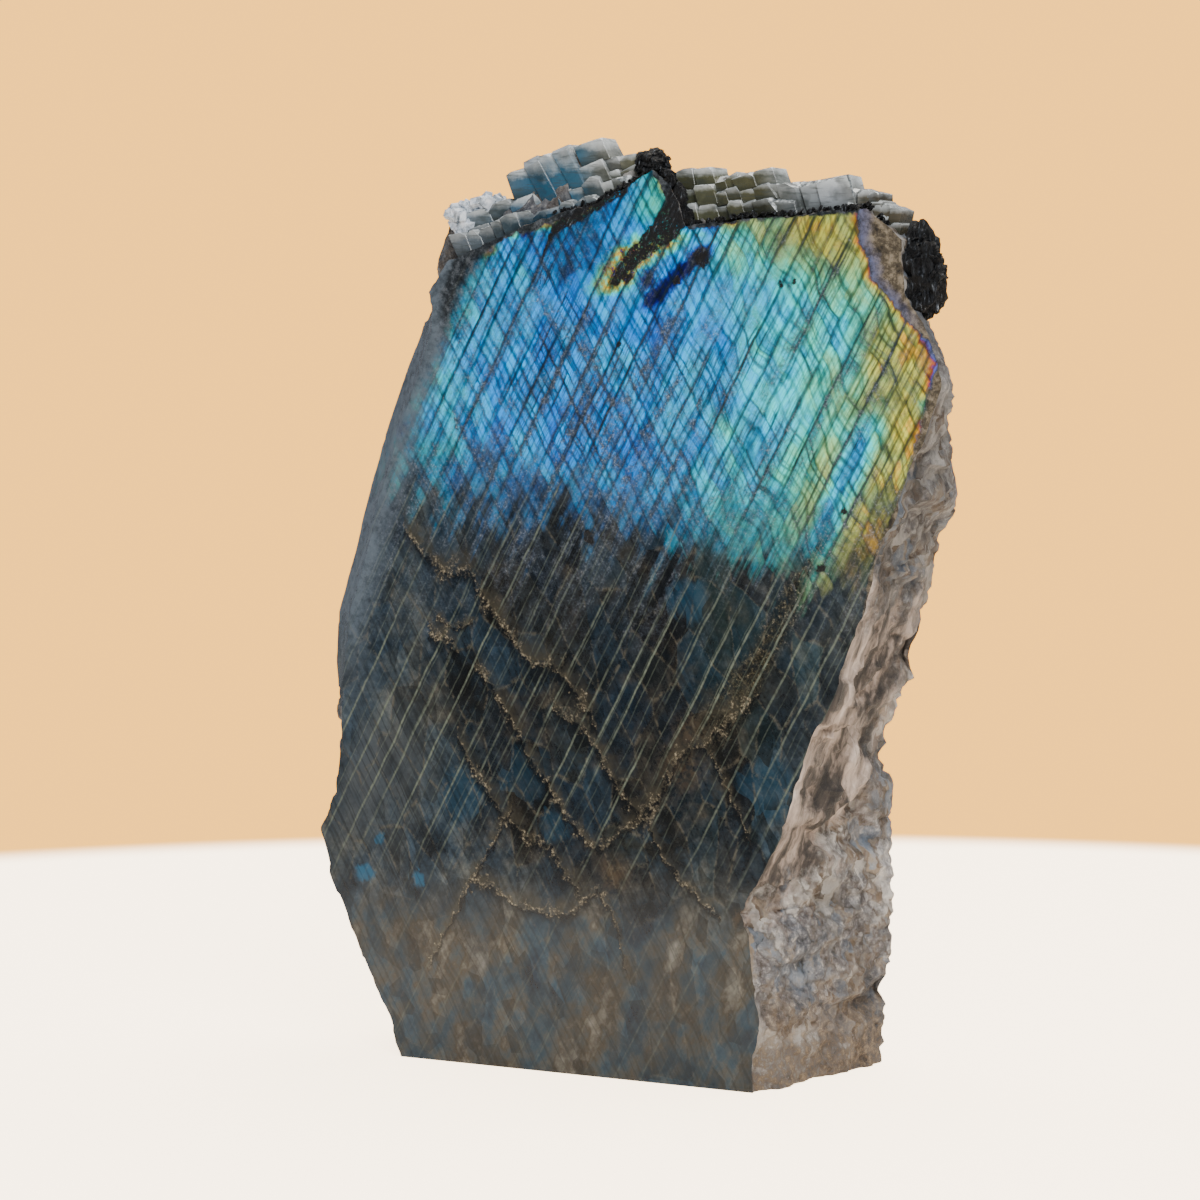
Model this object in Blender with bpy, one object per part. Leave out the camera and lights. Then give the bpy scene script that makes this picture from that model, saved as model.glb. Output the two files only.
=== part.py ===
"""Rough labradorite chunk: a broken lump of stone with one sawn and polished face, on a sawn base.

X runs along the polished face, the polished face looks along -Y, and Z is up.
The origin is in the sawn base, below the middle of the stone.
"""

from math import radians

import bmesh
import bpy
from mathutils import Matrix, Vector, noise

MM = 0.001

# Driving dimensions, in millimetres.
FACE_Y = -22.0        # plane of the polished face
STOCK = 4.0           # stone in front of that plane, which is sawn off
BASE_STOCK = 6.0      # stone below the base, which is sawn off
LEDGE = 2.5           # the crest along the top starts this far behind the polished face
RIM = 5.0             # depth behind the polished face at which the stone is widest
RIM_SHARE = 0.12      # how far the right outline is on its way to the back at that depth
LEDGE_SHARE = 0.3     # how much of the left rim's width is left at the crest's depth
POLISHED_RIM = 8.0    # width of the rounded, polished left rim
RIM_FOOT = (66, 84)   # heights between which that rim begins
RIM_TOP = (158, 146)  # heights between which it ends
RIM_INNER = (35, 45)  # distances to the left between which its smoothness begins
RIM_DEPTH = (12, 5)   # depths between which its smoothness ends
POLISH = 0.9          # share of the broken relief that is polished away there
EDGE_WEAR = 1.0       # how far the left edge is worn back elsewhere
BACK_DROP = 10.0      # the top falls this much towards the back
BACK_SHRINK = 0.93    # the back is this much narrower than the rim
BACK_SWELL = 6.0      # how far the middle of the back stands out
LEFT_SWELL = 2.0      # how far the left side stands out behind the polished face
TOE_SWELL = 1.5       # how far the granular mass at the lower right stands out
TOE_TOP = (42, 36)    # heights between which that mass begins, at the polished face
TOE_LIFT = 20         # how much higher it begins at the back
TOE_START = (0.02, 0.15)  # shares of the thickness between which it begins
SIDE_CURVE = 1.3      # above 1, the sides stay wide for longer before they narrow to the back

# Thickness from the polished face to the back, as (height, thickness).
THICKNESS = ((0, 46), (50, 45), (80, 40), (105, 35), (140, 29), (180, 24))

# Outlines in the plane of the polished face, as (x, z).
# The left and right ones run upwards, and the top ones run to the right.
LEFT = ((-56, -BASE_STOCK), (-59, 7), (-65, 18), (-68.5, 25), (-73.5, 36), (-77, 46), (-72.5, 54),
        (-71, 65), (-74, 80), (-73.5, 91), (-69.5, 103), (-64.5, 117), (-60, 128), (-55, 139),
        (-49.5, 149), (-48, 157), (-46, 165))
RIGHT_FRONT = ((26, -BASE_STOCK), (25.5, 8), (27, 14), (25.2, 22), (24.6, 30), (22.5, 35), (26, 40),
               (31, 49), (34.5, 60), (39, 72), (44, 82), (49, 94), (52, 105), (57, 117), (62, 128),
               (65.5, 138), (62.5, 148.5), (57.5, 156), (57, 165.5))
RIGHT_BACK = ((26, -BASE_STOCK), (30.5, 8), (32, 14), (33, 22), (33, 30), (33, 35), (32, 40),
              (30.5, 49), (31, 60), (35.5, 72), (42, 82), (45, 94), (48.5, 105), (53, 117),
              (54, 128), (55, 138), (50, 148), (48, 155), (46, 160))
TOP_FRONT = ((-45, 163), (-40, 165.5), (-30, 168.5), (-20, 171.5), (-11, 173.5), (-6, 175.5),
             (-1, 178), (3, 180.5), (7, 177), (10, 169), (16, 169.5), (22, 170.5), (31, 170.7),
             (42, 171.5), (50, 172), (57, 165.5))
TOP_CREST = ((-47, 173), (-42, 173.5), (-33, 174.5), (-23, 180.5), (-14, 184), (-9, 182),
             (-3, 182), (1, 182.5), (5, 180), (8, 178.5), (14, 177), (20, 177.5), (28, 176),
             (40, 175), (48, 172.5), (55, 168))

# Cleavage blocks of the crest: middle x and z, length, height, set-back, depth and tilt in degrees.
BLOCKS = ((-44.0, 171.8, 8, 6.5, 2.5, 9, 8), (-36.5, 172.2, 9, 4.5, 3.5, 11, 18),
          (-30.0, 176.0, 6, 8, 3.0, 8, 12), (-24.5, 178.4, 7, 9.5, 4.0, 12, 20),
          (-20.0, 180.2, 6.5, 9, 3.2, 9, 22), (-15.0, 182.4, 5.5, 6.6, 4.2, 12, 24),
          (-23.0, 173.4, 15, 4, 2.2, 9, 12), (-9.0, 178.0, 12, 4.2, 2.6, 8, 14),
          (-7.5, 181.2, 8, 3.4, 4.5, 10, 8), (9.5, 177.6, 8, 5.2, 3.4, 8, 14),
          (18.0, 176.8, 8.5, 4.8, 4.2, 11, 14), (24.0, 176.4, 7, 4.6, 3.0, 8, 10),
          (13.0, 172.9, 12, 5, 2.2, 10, 12), (24.0, 173.2, 11, 4.5, 2.6, 9, 12),
          (32.5, 173.6, 10.5, 4.2, 3.2, 8, 4), (39.5, 174.2, 6, 4.0, 3.8, 10, 4),
          (45.4, 171.8, 8, 3.4, 3.0, 8, -10))
BLOCK_SKEW = 0.7      # how far a block's corners lie off a true box

# Flat breaks that take off the stone's back edges: a point (x, y, z) on each, and its direction.
BREAKS = (((0, 1, 177), (0.05, 0.72, 0.69)), ((-57, 2, 130), (-0.75, 0.64, 0.15)),
          ((-68, 9, 42), (-0.72, 0.66, -0.2)), ((49, 3, 136), (0.70, 0.68, 0.2)),
          ((18, 26, 30), (0.30, 0.95, -0.05)), ((-22, 25, 62), (-0.22, 0.96, 0.14)),
          ((8, 18, 108), (0.16, 0.96, 0.20)), ((-16, 26, 9), (0.0, 0.90, -0.43)),
          ((-48, 14, 92), (-0.45, 0.88, 0.10)), ((-34, 4, 160), (-0.35, 0.80, 0.48)))

# Lumps of black biotite, and the sugary lump at the left end: middle (x, y, z) and radii.
LUMPS = (((56.5, -15.0, 156.8), (5.4, 6.0, 9.0)), ((1.5, -16.0, 180.0), (5.0, 4.5, 4.6)),
         ((-44.5, -16.5, 173.0), (4.0, 4.0, 3.4)))
LUMP_FACETS = (6.0, 0.8, 0.15)

# Cells of the grid that the stone is shaped from: along X, along Z and from front to back.
# The first layer of cells from the front is the saw's and the second is the ledge's.
CELLS_X = 34
CELLS_Z = 42
LAYERS = 12

# Broken facets, in millimetres: size, step between neighbours and slope.
BROAD_FACETS = (26.0, 2.4, 0.10)
SMALL_FACETS = (13.0, 0.9, 0.10)
CLEAVAGE = Matrix.Rotation(radians(-28), 3, "Y")
FACET_SHAPE = 1.8     # how much longer facets are along the cleavage than across it
SHUFFLE = 9.7         # any number that is not whole, to draw chances from places

# The relief is this share of itself at the polished face, and whole past these depths.
FRONT_RELIEF = 0.25
RELIEF_DEPTH = (2, 14)

# Cleavage ledges that run across the broken sides: distance from one to the next, height, and how
# far they wander, as a share of that distance, over what length.
LEDGE_PITCH = 17.0
LEDGE_HEIGHT = 1.8
LEDGE_WANDER = 0.8
LEDGE_BEND = 40

# A step in the relief rises at most this much per millimetre, after this many passes.
STEEPEST = 0.7
SLOPE_PASSES = 8


def clear_scene():
    """Remove every object that the file opened with."""
    for obj in list(bpy.data.objects):
        bpy.data.objects.remove(obj, do_unlink=True)


def ease(value, low, high):
    """0 below low, 1 above high, and a smooth rise between them."""
    t = min(max((value - low) / (high - low), 0.0), 1.0)
    return t * t * (3.0 - 2.0 * t)


def along(chain, t):
    """The point at fraction t of a chain of points, counted by its points."""
    s = min(max(t, 0.0), 1.0) * (len(chain) - 1)
    i = min(int(s), len(chain) - 2)
    return Vector(chain[i]).lerp(Vector(chain[i + 1]), s - i)


def thickness(z):
    """Thickness of the stone at height z."""
    z = min(max(z, THICKNESS[0][0]), THICKNESS[-1][0])
    for (z0, t0), (z1, t1) in zip(THICKNESS, THICKNESS[1:]):
        if z <= z1:
            return t0 + (t1 - t0) * (z - z0) / (z1 - z0)
    return THICKNESS[-1][1]


def left_edge(share):
    """The left outline, moved right by a share of the polished rim where there is one."""
    rim = [EDGE_WEAR + POLISHED_RIM * ease(z, *RIM_FOOT) * ease(z, *RIM_TOP) for _, z in LEFT]
    return [(x + share * width - LEFT_SWELL * (1 - share), z) for (x, z), width in zip(LEFT, rim)]


def section(left, right, top):
    """The four sides of one cross-section, meeting at the corners of its top."""
    left = list(left[:-1]) + [top[0]]
    right = list(right[:-1]) + [top[-1]]
    return left, right, (left[0], right[0]), top


def mix(chain_a, chain_b, t):
    """A chain of points a fraction of the way from one chain to another."""
    return [tuple(Vector(p).lerp(Vector(q), t)) for p, q in zip(chain_a, chain_b)]


def make_sections():
    """Cross-sections at the sawn stock, the ledge, the rim and the back."""
    rim_right = mix(RIGHT_FRONT, RIGHT_BACK, RIM_SHARE)
    back_left = [(x * BACK_SHRINK, z) for x, z in LEFT]
    back_top = [(x * BACK_SHRINK, z - BACK_DROP) for x, z in TOP_CREST]
    return (section(left_edge(1.0), RIGHT_FRONT, TOP_FRONT),
            section(left_edge(LEDGE_SHARE), RIGHT_FRONT, TOP_FRONT),
            section(left_edge(0.0), rim_right, TOP_CREST),
            section(back_left, RIGHT_BACK, back_top))


def inside(sides, a, b):
    """The point at fractions a across and b up of the area between four sides."""
    left, right, bottom, top = sides
    edges = (along(left, b) * (1 - a) + along(right, b) * a
             + along(bottom, a) * (1 - b) + along(top, a) * b)
    corners = (Vector(bottom[0]) * (1 - a) * (1 - b) + Vector(bottom[-1]) * a * (1 - b)
               + Vector(top[0]) * (1 - a) * b + Vector(top[-1]) * a * b)
    return edges - corners


def stone_point(sections, a, b, c):
    """Where the grid point at fractions a, b and c lies: across, up and from front to back."""
    first, second = 1 / LAYERS, 2 / LAYERS
    back = inside(sections[3], a, b)
    full = thickness(back.y)
    full += BACK_SWELL * (1 - abs(2 * a - 1) ** 3) * (1 - abs(2 * b - 1) ** 3)
    if c <= first:
        t = c / first
        flat = inside(sections[0], a, b).lerp(inside(sections[1], a, b), t)
        depth = -STOCK + (LEDGE + STOCK) * t
    elif c <= second:
        t = (c - first) / (second - first)
        flat = inside(sections[1], a, b).lerp(inside(sections[2], a, b), t)
        depth = LEDGE + (RIM - LEDGE) * t
    else:
        t = (c - second) / (1 - second)
        flat = inside(sections[2], a, b).lerp(back, t ** SIDE_CURVE)
        depth = RIM + (full - RIM) * t
    share = max(depth, 0.0) / full
    lift = TOE_LIFT * share
    toe = ease(flat.y, TOE_TOP[0] + lift, TOE_TOP[1] + lift) * ease(share, *TOE_START)
    flat.x += TOE_SWELL * toe * max(2 * a - 1, 0.0) ** 4
    point = Vector((flat.x, FACE_Y + depth, flat.y))
    for place, direction in BREAKS:
        normal = Vector(direction).normalized()
        point -= normal * max((point - Vector(place)).dot(normal), 0.0)
    return point


def facet_height(point, facets):
    """Height of a broken surface of flat facets that lie along the cleavage."""
    size, step, slope = facets
    p = CLEAVAGE @ point
    p = Vector((p.x, p.y, p.z * FACET_SHAPE)) / size
    site = noise.voronoi(p)[1][0]
    chance = noise.cell_vector(site * SHUFFLE)
    lean = 1 if chance.y > 0.5 else -1
    return step * (chance.x - 0.5) + slope * size * lean * (p - site).x


def ledge_height(point):
    """Height of the cleavage ledges: each rises slowly and ends in a step."""
    p = CLEAVAGE @ point
    s = p.x / LEDGE_PITCH + LEDGE_WANDER * noise.noise(point / LEDGE_BEND)
    return LEDGE_HEIGHT * (s % 1.0 - 0.5)


def roughness(point):
    """How much of the broken relief shows: none on polished stone, most on the back."""
    depth = point.y - FACE_Y
    amount = FRONT_RELIEF + (1 - FRONT_RELIEF) * ease(depth, *RELIEF_DEPTH)
    polished = ease(-point.x, *RIM_INNER) * ease(point.z, *RIM_FOOT) * ease(point.z, *RIM_TOP)
    return amount * (1 - POLISH * polished * ease(depth, *RIM_DEPTH))


def relief(point):
    """How far the broken surface stands out at a point, or 0 on the stock that is sawn off."""
    if point.y < FACE_Y:
        return 0.0
    height = facet_height(point, BROAD_FACETS) + facet_height(point, SMALL_FACETS)
    return roughness(point) * (height + ledge_height(point))


def limit_slopes(bm, heights):
    """Ease each step that is too steep for the length of its edge, so that no faces cross."""
    bm.verts.index_update()
    edges = [(e.verts[0].index, e.verts[1].index, STEEPEST * e.calc_length()) for e in bm.edges]
    for _ in range(SLOPE_PASSES):
        for i, j, most in edges:
            excess = (abs(heights[i] - heights[j]) - most) / 2
            if excess > 0:
                side = 1 if heights[i] > heights[j] else -1
                heights[i] -= side * excess
                heights[j] += side * excess


def add_grid_side(bm, cells_1, cells_2, turn):
    """One side of the unit box, as a grid with its own number of cells each way."""
    bmesh.ops.create_grid(bm, x_segments=cells_1, y_segments=cells_2, size=0.5,
                          matrix=turn @ Matrix.Translation((0, 0, 0.5)))


def make_stone_mesh():
    """A box of grids, bent to the stone's outlines, broken into facets and sawn flat twice."""
    bm = bmesh.new()
    for side in (0, 180):
        add_grid_side(bm, CELLS_X, CELLS_Z, Matrix.Rotation(radians(90 + side), 4, "X"))
        add_grid_side(bm, CELLS_X, LAYERS, Matrix.Rotation(radians(side), 4, "X"))
        add_grid_side(bm, CELLS_Z, LAYERS, Matrix.Rotation(radians(90 + side), 4, "Y"))
    bmesh.ops.remove_doubles(bm, verts=bm.verts, dist=1e-4)
    sections = make_sections()
    for vert in bm.verts:
        a, c, b = (value + 0.5 for value in vert.co)
        vert.co = stone_point(sections, a, b, c)
    bmesh.ops.recalc_face_normals(bm, faces=bm.faces)
    bm.normal_update()
    heights = [relief(vert.co) for vert in bm.verts]
    limit_slopes(bm, heights)
    moves = [vert.normal * height for vert, height in zip(bm.verts, heights)]
    for vert, move in zip(bm.verts, moves):
        vert.co += move
    saw(bm, Vector((0, FACE_Y, 0)), Vector((0, 1, 0)))
    saw(bm, Vector((0, 0, 0)), Vector((0, 0, 1)))
    bmesh.ops.triangulate(bm, faces=bm.faces)
    bmesh.ops.scale(bm, verts=bm.verts, vec=(MM, MM, MM))
    mesh = bpy.data.meshes.new("stone")
    bm.to_mesh(mesh)
    bm.free()
    return mesh


def saw(bm, point, keep):
    """Cut the stone flat through a point, and keep the side that keep points to."""
    geometry = bm.verts[:] + bm.edges[:] + bm.faces[:]
    cut = bmesh.ops.bisect_plane(bm, geom=geometry, plane_co=point, plane_no=keep,
                                 clear_inner=True)
    edges = [item for item in cut["geom_cut"] if isinstance(item, bmesh.types.BMEdge)]
    bmesh.ops.contextual_create(bm, geom=edges)


def make_block(index, block):
    """One cleavage block, tilted about Y and sunk into the stone behind it."""
    x, z, length, height, setback, depth, tilt = block
    place = Matrix.Translation((x, FACE_Y + setback + depth / 2, z))
    turn = Matrix.Rotation(radians(-tilt), 4, "Y")
    bm = bmesh.new()
    bmesh.ops.create_cube(bm, size=1, matrix=place @ turn @ Matrix.Diagonal((length, depth, height, 1)))
    for vert in bm.verts:
        vert.co += BLOCK_SKEW * (noise.cell_vector(vert.co * SHUFFLE) - Vector((0.5, 0.5, 0.5)))
    bmesh.ops.triangulate(bm, faces=bm.faces)
    bmesh.ops.scale(bm, verts=bm.verts, vec=(MM, MM, MM))
    mesh = bpy.data.meshes.new(f"block_{index:02d}")
    bm.to_mesh(mesh)
    bm.free()
    return mesh


def make_lump(index, lump):
    """One lump with a broken surface."""
    middle, radii = lump
    bm = bmesh.new()
    bmesh.ops.create_icosphere(bm, subdivisions=3, radius=1)
    for vert in bm.verts:
        point = Vector([m + r * v for m, r, v in zip(middle, radii, vert.co)])
        height = facet_height(point, LUMP_FACETS)
        vert.co = (point + vert.co.normalized() * height) * MM
    mesh = bpy.data.meshes.new(f"lump_{index:02d}")
    bm.to_mesh(mesh)
    bm.free()
    return mesh


def make_material():
    """Plain dark blue-grey stone."""
    material = bpy.data.materials.new("labradorite")
    material.use_nodes = True
    shader = material.node_tree.nodes["Principled BSDF"]
    shader.inputs["Base Color"].default_value = (0.05, 0.09, 0.12, 1)
    shader.inputs["Roughness"].default_value = 0.35
    shader.inputs["Metallic"].default_value = 0
    return material


def shells(bm):
    """The separate shells of a mesh, each as a set of vertices, the largest first."""
    left = set(bm.verts)
    found = []
    while left:
        shell = set()
        todo = [left.pop()]
        while todo:
            vert = todo.pop()
            shell.add(vert)
            for edge in vert.link_edges:
                other = edge.other_vert(vert)
                if other in left:
                    left.remove(other)
                    todo.append(other)
        found.append(shell)
    return sorted(found, key=len, reverse=True)


def fuse(stone):
    """Apply the unions, and fill the tiny gaps that are left sealed between the blocks."""
    evaluated = stone.evaluated_get(bpy.context.evaluated_depsgraph_get())
    mesh = bpy.data.meshes.new_from_object(evaluated)
    stone.modifiers.clear()
    bm = bmesh.new()
    bm.from_mesh(mesh)
    for shell in shells(bm)[1:]:
        bmesh.ops.delete(bm, geom=list(shell), context="VERTS")
    bmesh.ops.triangulate(bm, faces=bm.faces)
    bm.to_mesh(mesh)
    bm.free()
    stone.data = mesh


def main():
    """Build the stone, and fuse its blocks and lumps to it."""
    clear_scene()
    parts = bpy.data.collections.new("rough_labradorite_chunk")
    joined = bpy.data.collections.new("joined_shapes")
    for collection in (parts, joined):
        bpy.context.scene.collection.children.link(collection)
    stone = bpy.data.objects.new("labradorite_chunk", make_stone_mesh())
    stone.data.materials.append(make_material())
    parts.objects.link(stone)
    meshes = [make_block(i, block) for i, block in enumerate(BLOCKS)]
    meshes += [make_lump(i, lump) for i, lump in enumerate(LUMPS)]
    for mesh in meshes:
        shape = bpy.data.objects.new(mesh.name, mesh)
        shape.hide_render = True
        shape.display_type = "WIRE"
        joined.objects.link(shape)
        union = stone.modifiers.new(mesh.name, "BOOLEAN")
        union.operation = "UNION"
        union.solver = "EXACT"
        union.object = shape
    fuse(stone)


main()
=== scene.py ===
"""A rough labradorite chunk: broken sides, cleaved crest, black mica, and a polished face with a blue flash.

The polished face looks along -Y, X runs along it to the right, and Z is up. Shapes are worked out in
millimetres and turned to metres as each mesh is finished.
"""

import random
from functools import partial
from math import cos, pi, radians, sin

import bmesh
import bpy
from bpy.props import FloatProperty, FloatVectorProperty, IntProperty, PointerProperty
from mathutils import Matrix, Vector, noise


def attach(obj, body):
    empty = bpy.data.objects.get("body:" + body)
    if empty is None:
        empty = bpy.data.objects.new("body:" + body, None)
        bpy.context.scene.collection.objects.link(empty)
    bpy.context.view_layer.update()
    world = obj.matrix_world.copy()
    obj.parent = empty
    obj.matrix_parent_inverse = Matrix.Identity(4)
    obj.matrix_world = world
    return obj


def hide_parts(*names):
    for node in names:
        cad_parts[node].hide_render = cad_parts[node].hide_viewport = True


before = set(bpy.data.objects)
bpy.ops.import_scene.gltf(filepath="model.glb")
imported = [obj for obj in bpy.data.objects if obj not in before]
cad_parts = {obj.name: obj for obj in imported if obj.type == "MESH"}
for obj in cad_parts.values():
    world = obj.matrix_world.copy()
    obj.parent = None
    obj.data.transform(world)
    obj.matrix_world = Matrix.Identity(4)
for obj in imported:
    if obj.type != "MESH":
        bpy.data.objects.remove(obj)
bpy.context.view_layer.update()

bl_info = {
    "name": "Labradorite chunk",
    "version": (1, 0, 0),
    "blender": (4, 5, 0),
    "location": "View3D > Sidebar > Labradorite",
    "description": "Builds a rough labradorite chunk with one polished face",
    "category": "Object",
}

MM = 0.001

# The saw cuts and the widths of the stone, in millimetres.
FACE_Y = -22.0        # plane of the polished face
STOCK = 4.0           # stone in front of that plane, which is sawn off
BASE_STOCK = 6.0      # stone below the base, which is sawn off
LEDGE = 2.5           # the crest along the top starts this far behind the polished face
RIM = 5.0             # depth behind the polished face at which the stone is widest
RIM_SHARE = 0.12      # how far the right outline is on its way to the back at that depth
LEDGE_SHARE = 0.3     # how much of the left rim's width is left at the crest's depth
POLISHED_RIM = 8.0    # width of the rounded, polished left rim
RIM_FOOT = (66, 84)   # heights between which that rim begins
RIM_TOP = (158, 146)  # heights between which it ends
EDGE_WEAR = 1.0       # how far the left edge is worn back elsewhere
BACK_DROP = 10.0      # the top falls this much towards the back
BACK_SHRINK = 0.93    # the back is this much narrower than the rim
BACK_SWELL = 6.0      # how far the middle of the back stands out
LEFT_SWELL = 2.0      # how far the left side stands out behind the polished face
TOE_SWELL = 1.5       # how far the granular mass at the lower right stands out
TOE_TOP = (42, 36)    # heights between which that mass begins, at the polished face
TOE_LIFT = 20         # how much higher it begins at the back
TOE_START = (0.02, 0.15)  # shares of the thickness between which it begins
SIDE_CURVE = 1.3      # above 1, the sides stay wide for longer before they narrow to the back
LAYERS = 12           # steps from front to back; the saw cut and the rim take up one each
STONE_CELLS = (145, 187, 45)  # width, height and thickness that are split into cells
WELD = 1e-4           # points closer than this are one

# Thickness of the stone: height and thickness in turn.
THICKNESS = ((0, 46), (50, 45), (80, 40), (105, 35), (140, 29), (180, 24))

# Outlines of the stone as (x, z): left and right upwards, the top ones to the right.
LEFT = ((-56, -BASE_STOCK), (-59, 7), (-65, 18), (-68.5, 25), (-73.5, 36), (-77, 46), (-72.5, 54),
        (-71, 65), (-74, 80), (-73.5, 91), (-69.5, 103), (-65.2, 117), (-61.5, 128), (-57, 139),
        (-52.5, 149), (-49.6, 157), (-46, 165))
RIGHT_FRONT = ((26, -BASE_STOCK), (25.5, 8), (27, 14), (25.2, 22), (24.6, 30), (22.5, 35), (26, 40),
               (31, 49), (34.5, 60), (39, 72), (44, 82), (49, 94), (52, 105), (57, 117), (62, 128),
               (65.5, 138), (62.5, 148.5), (57.5, 156), (57, 165.5))
RIGHT_BACK = ((26, -BASE_STOCK), (30.5, 8), (32, 14), (33, 22), (33, 30), (33, 35), (32, 40),
              (30.5, 49), (31, 60), (35.5, 72), (42, 82), (45, 94), (48.5, 105), (53, 117),
              (54, 128), (55, 138), (50, 148), (48, 155), (46, 160))
TOP_FRONT = ((-45, 163), (-40, 165.5), (-30, 168.5), (-20, 171.5), (-11, 173.5), (-6, 175.5),
             (-1, 178), (3, 180.5), (7, 177), (10, 169), (16, 169.5), (22, 170.5), (31, 170.7),
             (42, 171.5), (50, 172), (57, 165.5))
TOP_CREST = ((-47, 173), (-42, 173.5), (-33, 174.5), (-23, 180.5), (-14, 184), (-9, 182),
             (-3, 182), (1, 182.5), (5, 180), (8, 178.5), (14, 177), (20, 177.5), (28, 176),
             (40, 175), (48, 172.5), (55, 168))

# Flat breaks that take off the stone's back edges: a point (x, y, z) on each, and its direction.
BREAKS = (((0, 1, 177), (0.05, 0.72, 0.69)), ((-57, 2, 130), (-0.75, 0.64, 0.15)),
          ((-68, 9, 42), (-0.72, 0.66, -0.2)), ((49, 3, 136), (0.70, 0.68, 0.2)),
          ((18, 26, 30), (0.30, 0.95, -0.05)), ((-22, 25, 62), (-0.22, 0.96, 0.14)),
          ((8, 18, 108), (0.16, 0.96, 0.20)), ((-16, 26, 9), (0.0, 0.90, -0.43)),
          ((-48, 14, 92), (-0.45, 0.88, 0.10)), ((-34, 4, 160), (-0.35, 0.80, 0.48)))

# Cleavage blocks of the crest: left, right, bottom, top, tilt in degrees, set-back, depth, and how
# many columns and courses each is split into. They sit a little left of where they are seen.
BLOCKS = ((-41.0, -29.5, 167.5, 174.0, 16, 2.6, 6, 2, 2), (-30.0, -23.5, 170.5, 180.8, 14, 2.4, 6, 1, 2),
          (-24.5, -14.5, 172.5, 184.6, 20, 2.8, 6, 3, 1), (-15.0, -8.5, 177.8, 186.0, 16, 3.4, 6, 1, 2),
          (-16.0, -8.5, 173.0, 178.6, 16, 2.4, 6, 2, 1), (-9.6, -1.0, 177.8, 183.0, 10, 3.4, 6, 2, 2),
          (-10.0, -1.5, 174.4, 178.4, 12, 2.4, 6, 2, 1), (-43.0, -30.0, 164.8, 169.4, 14, 1.3, 6, 4, 1),
          (-31.0, -20.0, 167.8, 172.8, 12, 1.3, 6, 3, 1), (-21.0, -8.0, 170.6, 174.8, 10, 1.3, 6, 4, 1),
          (8.2, 16.3, 169.4, 179.9, 6, 2.0, 6, 2, 3), (15.6, 22.0, 170.6, 178.6, 8, 2.4, 6, 2, 3),
          (20.8, 29.5, 170.8, 179.2, 9, 2.2, 6, 2, 3), (28.5, 33.5, 170.8, 176.8, 2, 2.6, 6, 1, 2),
          (31.0, 39.8, 171.6, 177.2, 5, 3.2, 6, 2, 1), (39.4, 46.2, 171.6, 177.6, 6, 3.6, 6, 1, 1),
          (45.0, 52.0, 169.8, 174.8, -10, 2.4, 6, 3, 2), (50.5, 57.0, 166.6, 172.2, -24, 2.2, 6, 3, 2))
LEAN = 0.2            # how far a brick's top leans to the left, for each unit of its height
CREST_SHIFT = 1.4     # how far left of their places in the table the bricks sit
BRICK_GAP = 0.15      # how far a brick reaches into the next one in its row
COURSE_GAP = 0.3      # how far it reaches into the courses above and below it
COURSE_STEP = 0.7     # how far each course stands behind the one below it
LOWEST_SETBACK = 1.5  # bricks set back less than this belong to the dark course along the face
DARK_COURSE = 0.3     # how pale those bricks are, against the others
BRICK_SKEW = 0.2      # how far a brick's corners lie off a true box
BRICK_WEAR = 0.11     # how wide its worn edges are
BRICK_BREAKS = 2      # how many of its corners are broken off
SLAB_DEPTHS = (8, 16)  # how far behind the face the slabs behind the crest lie
SLAB_SINK = 2.4       # how far below the crest's outline the first of them end
SLAB_FALL = 0.3       # how much lower they end for each millimetre further back
SLAB_SHRINK = 0.97    # how much narrower their row is than the crest
SLAB_WIDTHS = (4, 11)
SLAB_HEIGHTS = (3, 5)

# Middle (x, y, z), radii and number of plates of each lump of mica.
MICA_LUMPS = (((58.2, -16.6, 158.6), (5.6, 5.2, 10.0), 300), ((0.8, -18.6, 181.2), (4.4, 3.4, 3.2), 110),
              ((5.6, -20.6, 178.2), (1.8, 1.4, 2.4), 40), ((8.2, -20.8, 174.4), (1.7, 1.4, 3.4), 60),
              ((9.8, -20.8, 170.4), (1.9, 1.4, 2.6), 50))

MICA_CORE = (0.85, 0.85, 0.88)  # size of the lump's solid core against the whole
MICA_RAGGED = 0.34    # how far the core's surface stands out and falls back, as a share
MICA_GRAIN = 0.40     # how often it does so, for each millimetre
MICA_TILT = -62       # how the plates lie, in degrees from level
TURN = 2 * pi

# Middle (x, y, z), radii and number of grains of the sugary crust at the left end.
SUGAR_LUMPS = (((-44.2, -17.5, 171.6), (3.0, 3.4, 4.2), 70), ((-39.0, -15.0, 174.0), (4.0, 4.0, 2.2), 50))

# Facets of the broken relief, broad to fine: size, step between neighbours and slope.
FACETS = ((26.0, 2.4, 0.10), (13.0, 0.9, 0.10), (5.0, 0.55, 0.16), (2.4, 0.34, 0.2))
CLEAVAGE = Matrix.Rotation(radians(-28), 3, "Y")
FACET_SHAPE = 1.8     # how much longer facets are along the cleavage than across it
SHUFFLE = 9.7         # any number that is not whole, to draw chances from places

# How much of that relief shows on the front half of the sides, the depths between which it grows to
# all of it, and the polished left rim, where most of it is gone.
FRONT_RELIEF = 0.5
RELIEF_DEPTH = (2, 14)
POLISH = 0.9          # share of the relief that is polished away there
RIM_INNER = (35, 45)  # distances to the left between which the smooth rim begins
SMOOTH_FOOT = (70, 80)
SMOOTH_TOP = (156, 148)
RIM_DEPTH = (12, 5)   # depths between which it ends

# Cleavage ledges: their spacing and height, and how far and over what distance they wander.
LEDGE_PITCH = 17.0
LEDGE_HEIGHT = 1.8
LEDGE_WANDER = 0.8
LEDGE_BEND = 40

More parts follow.
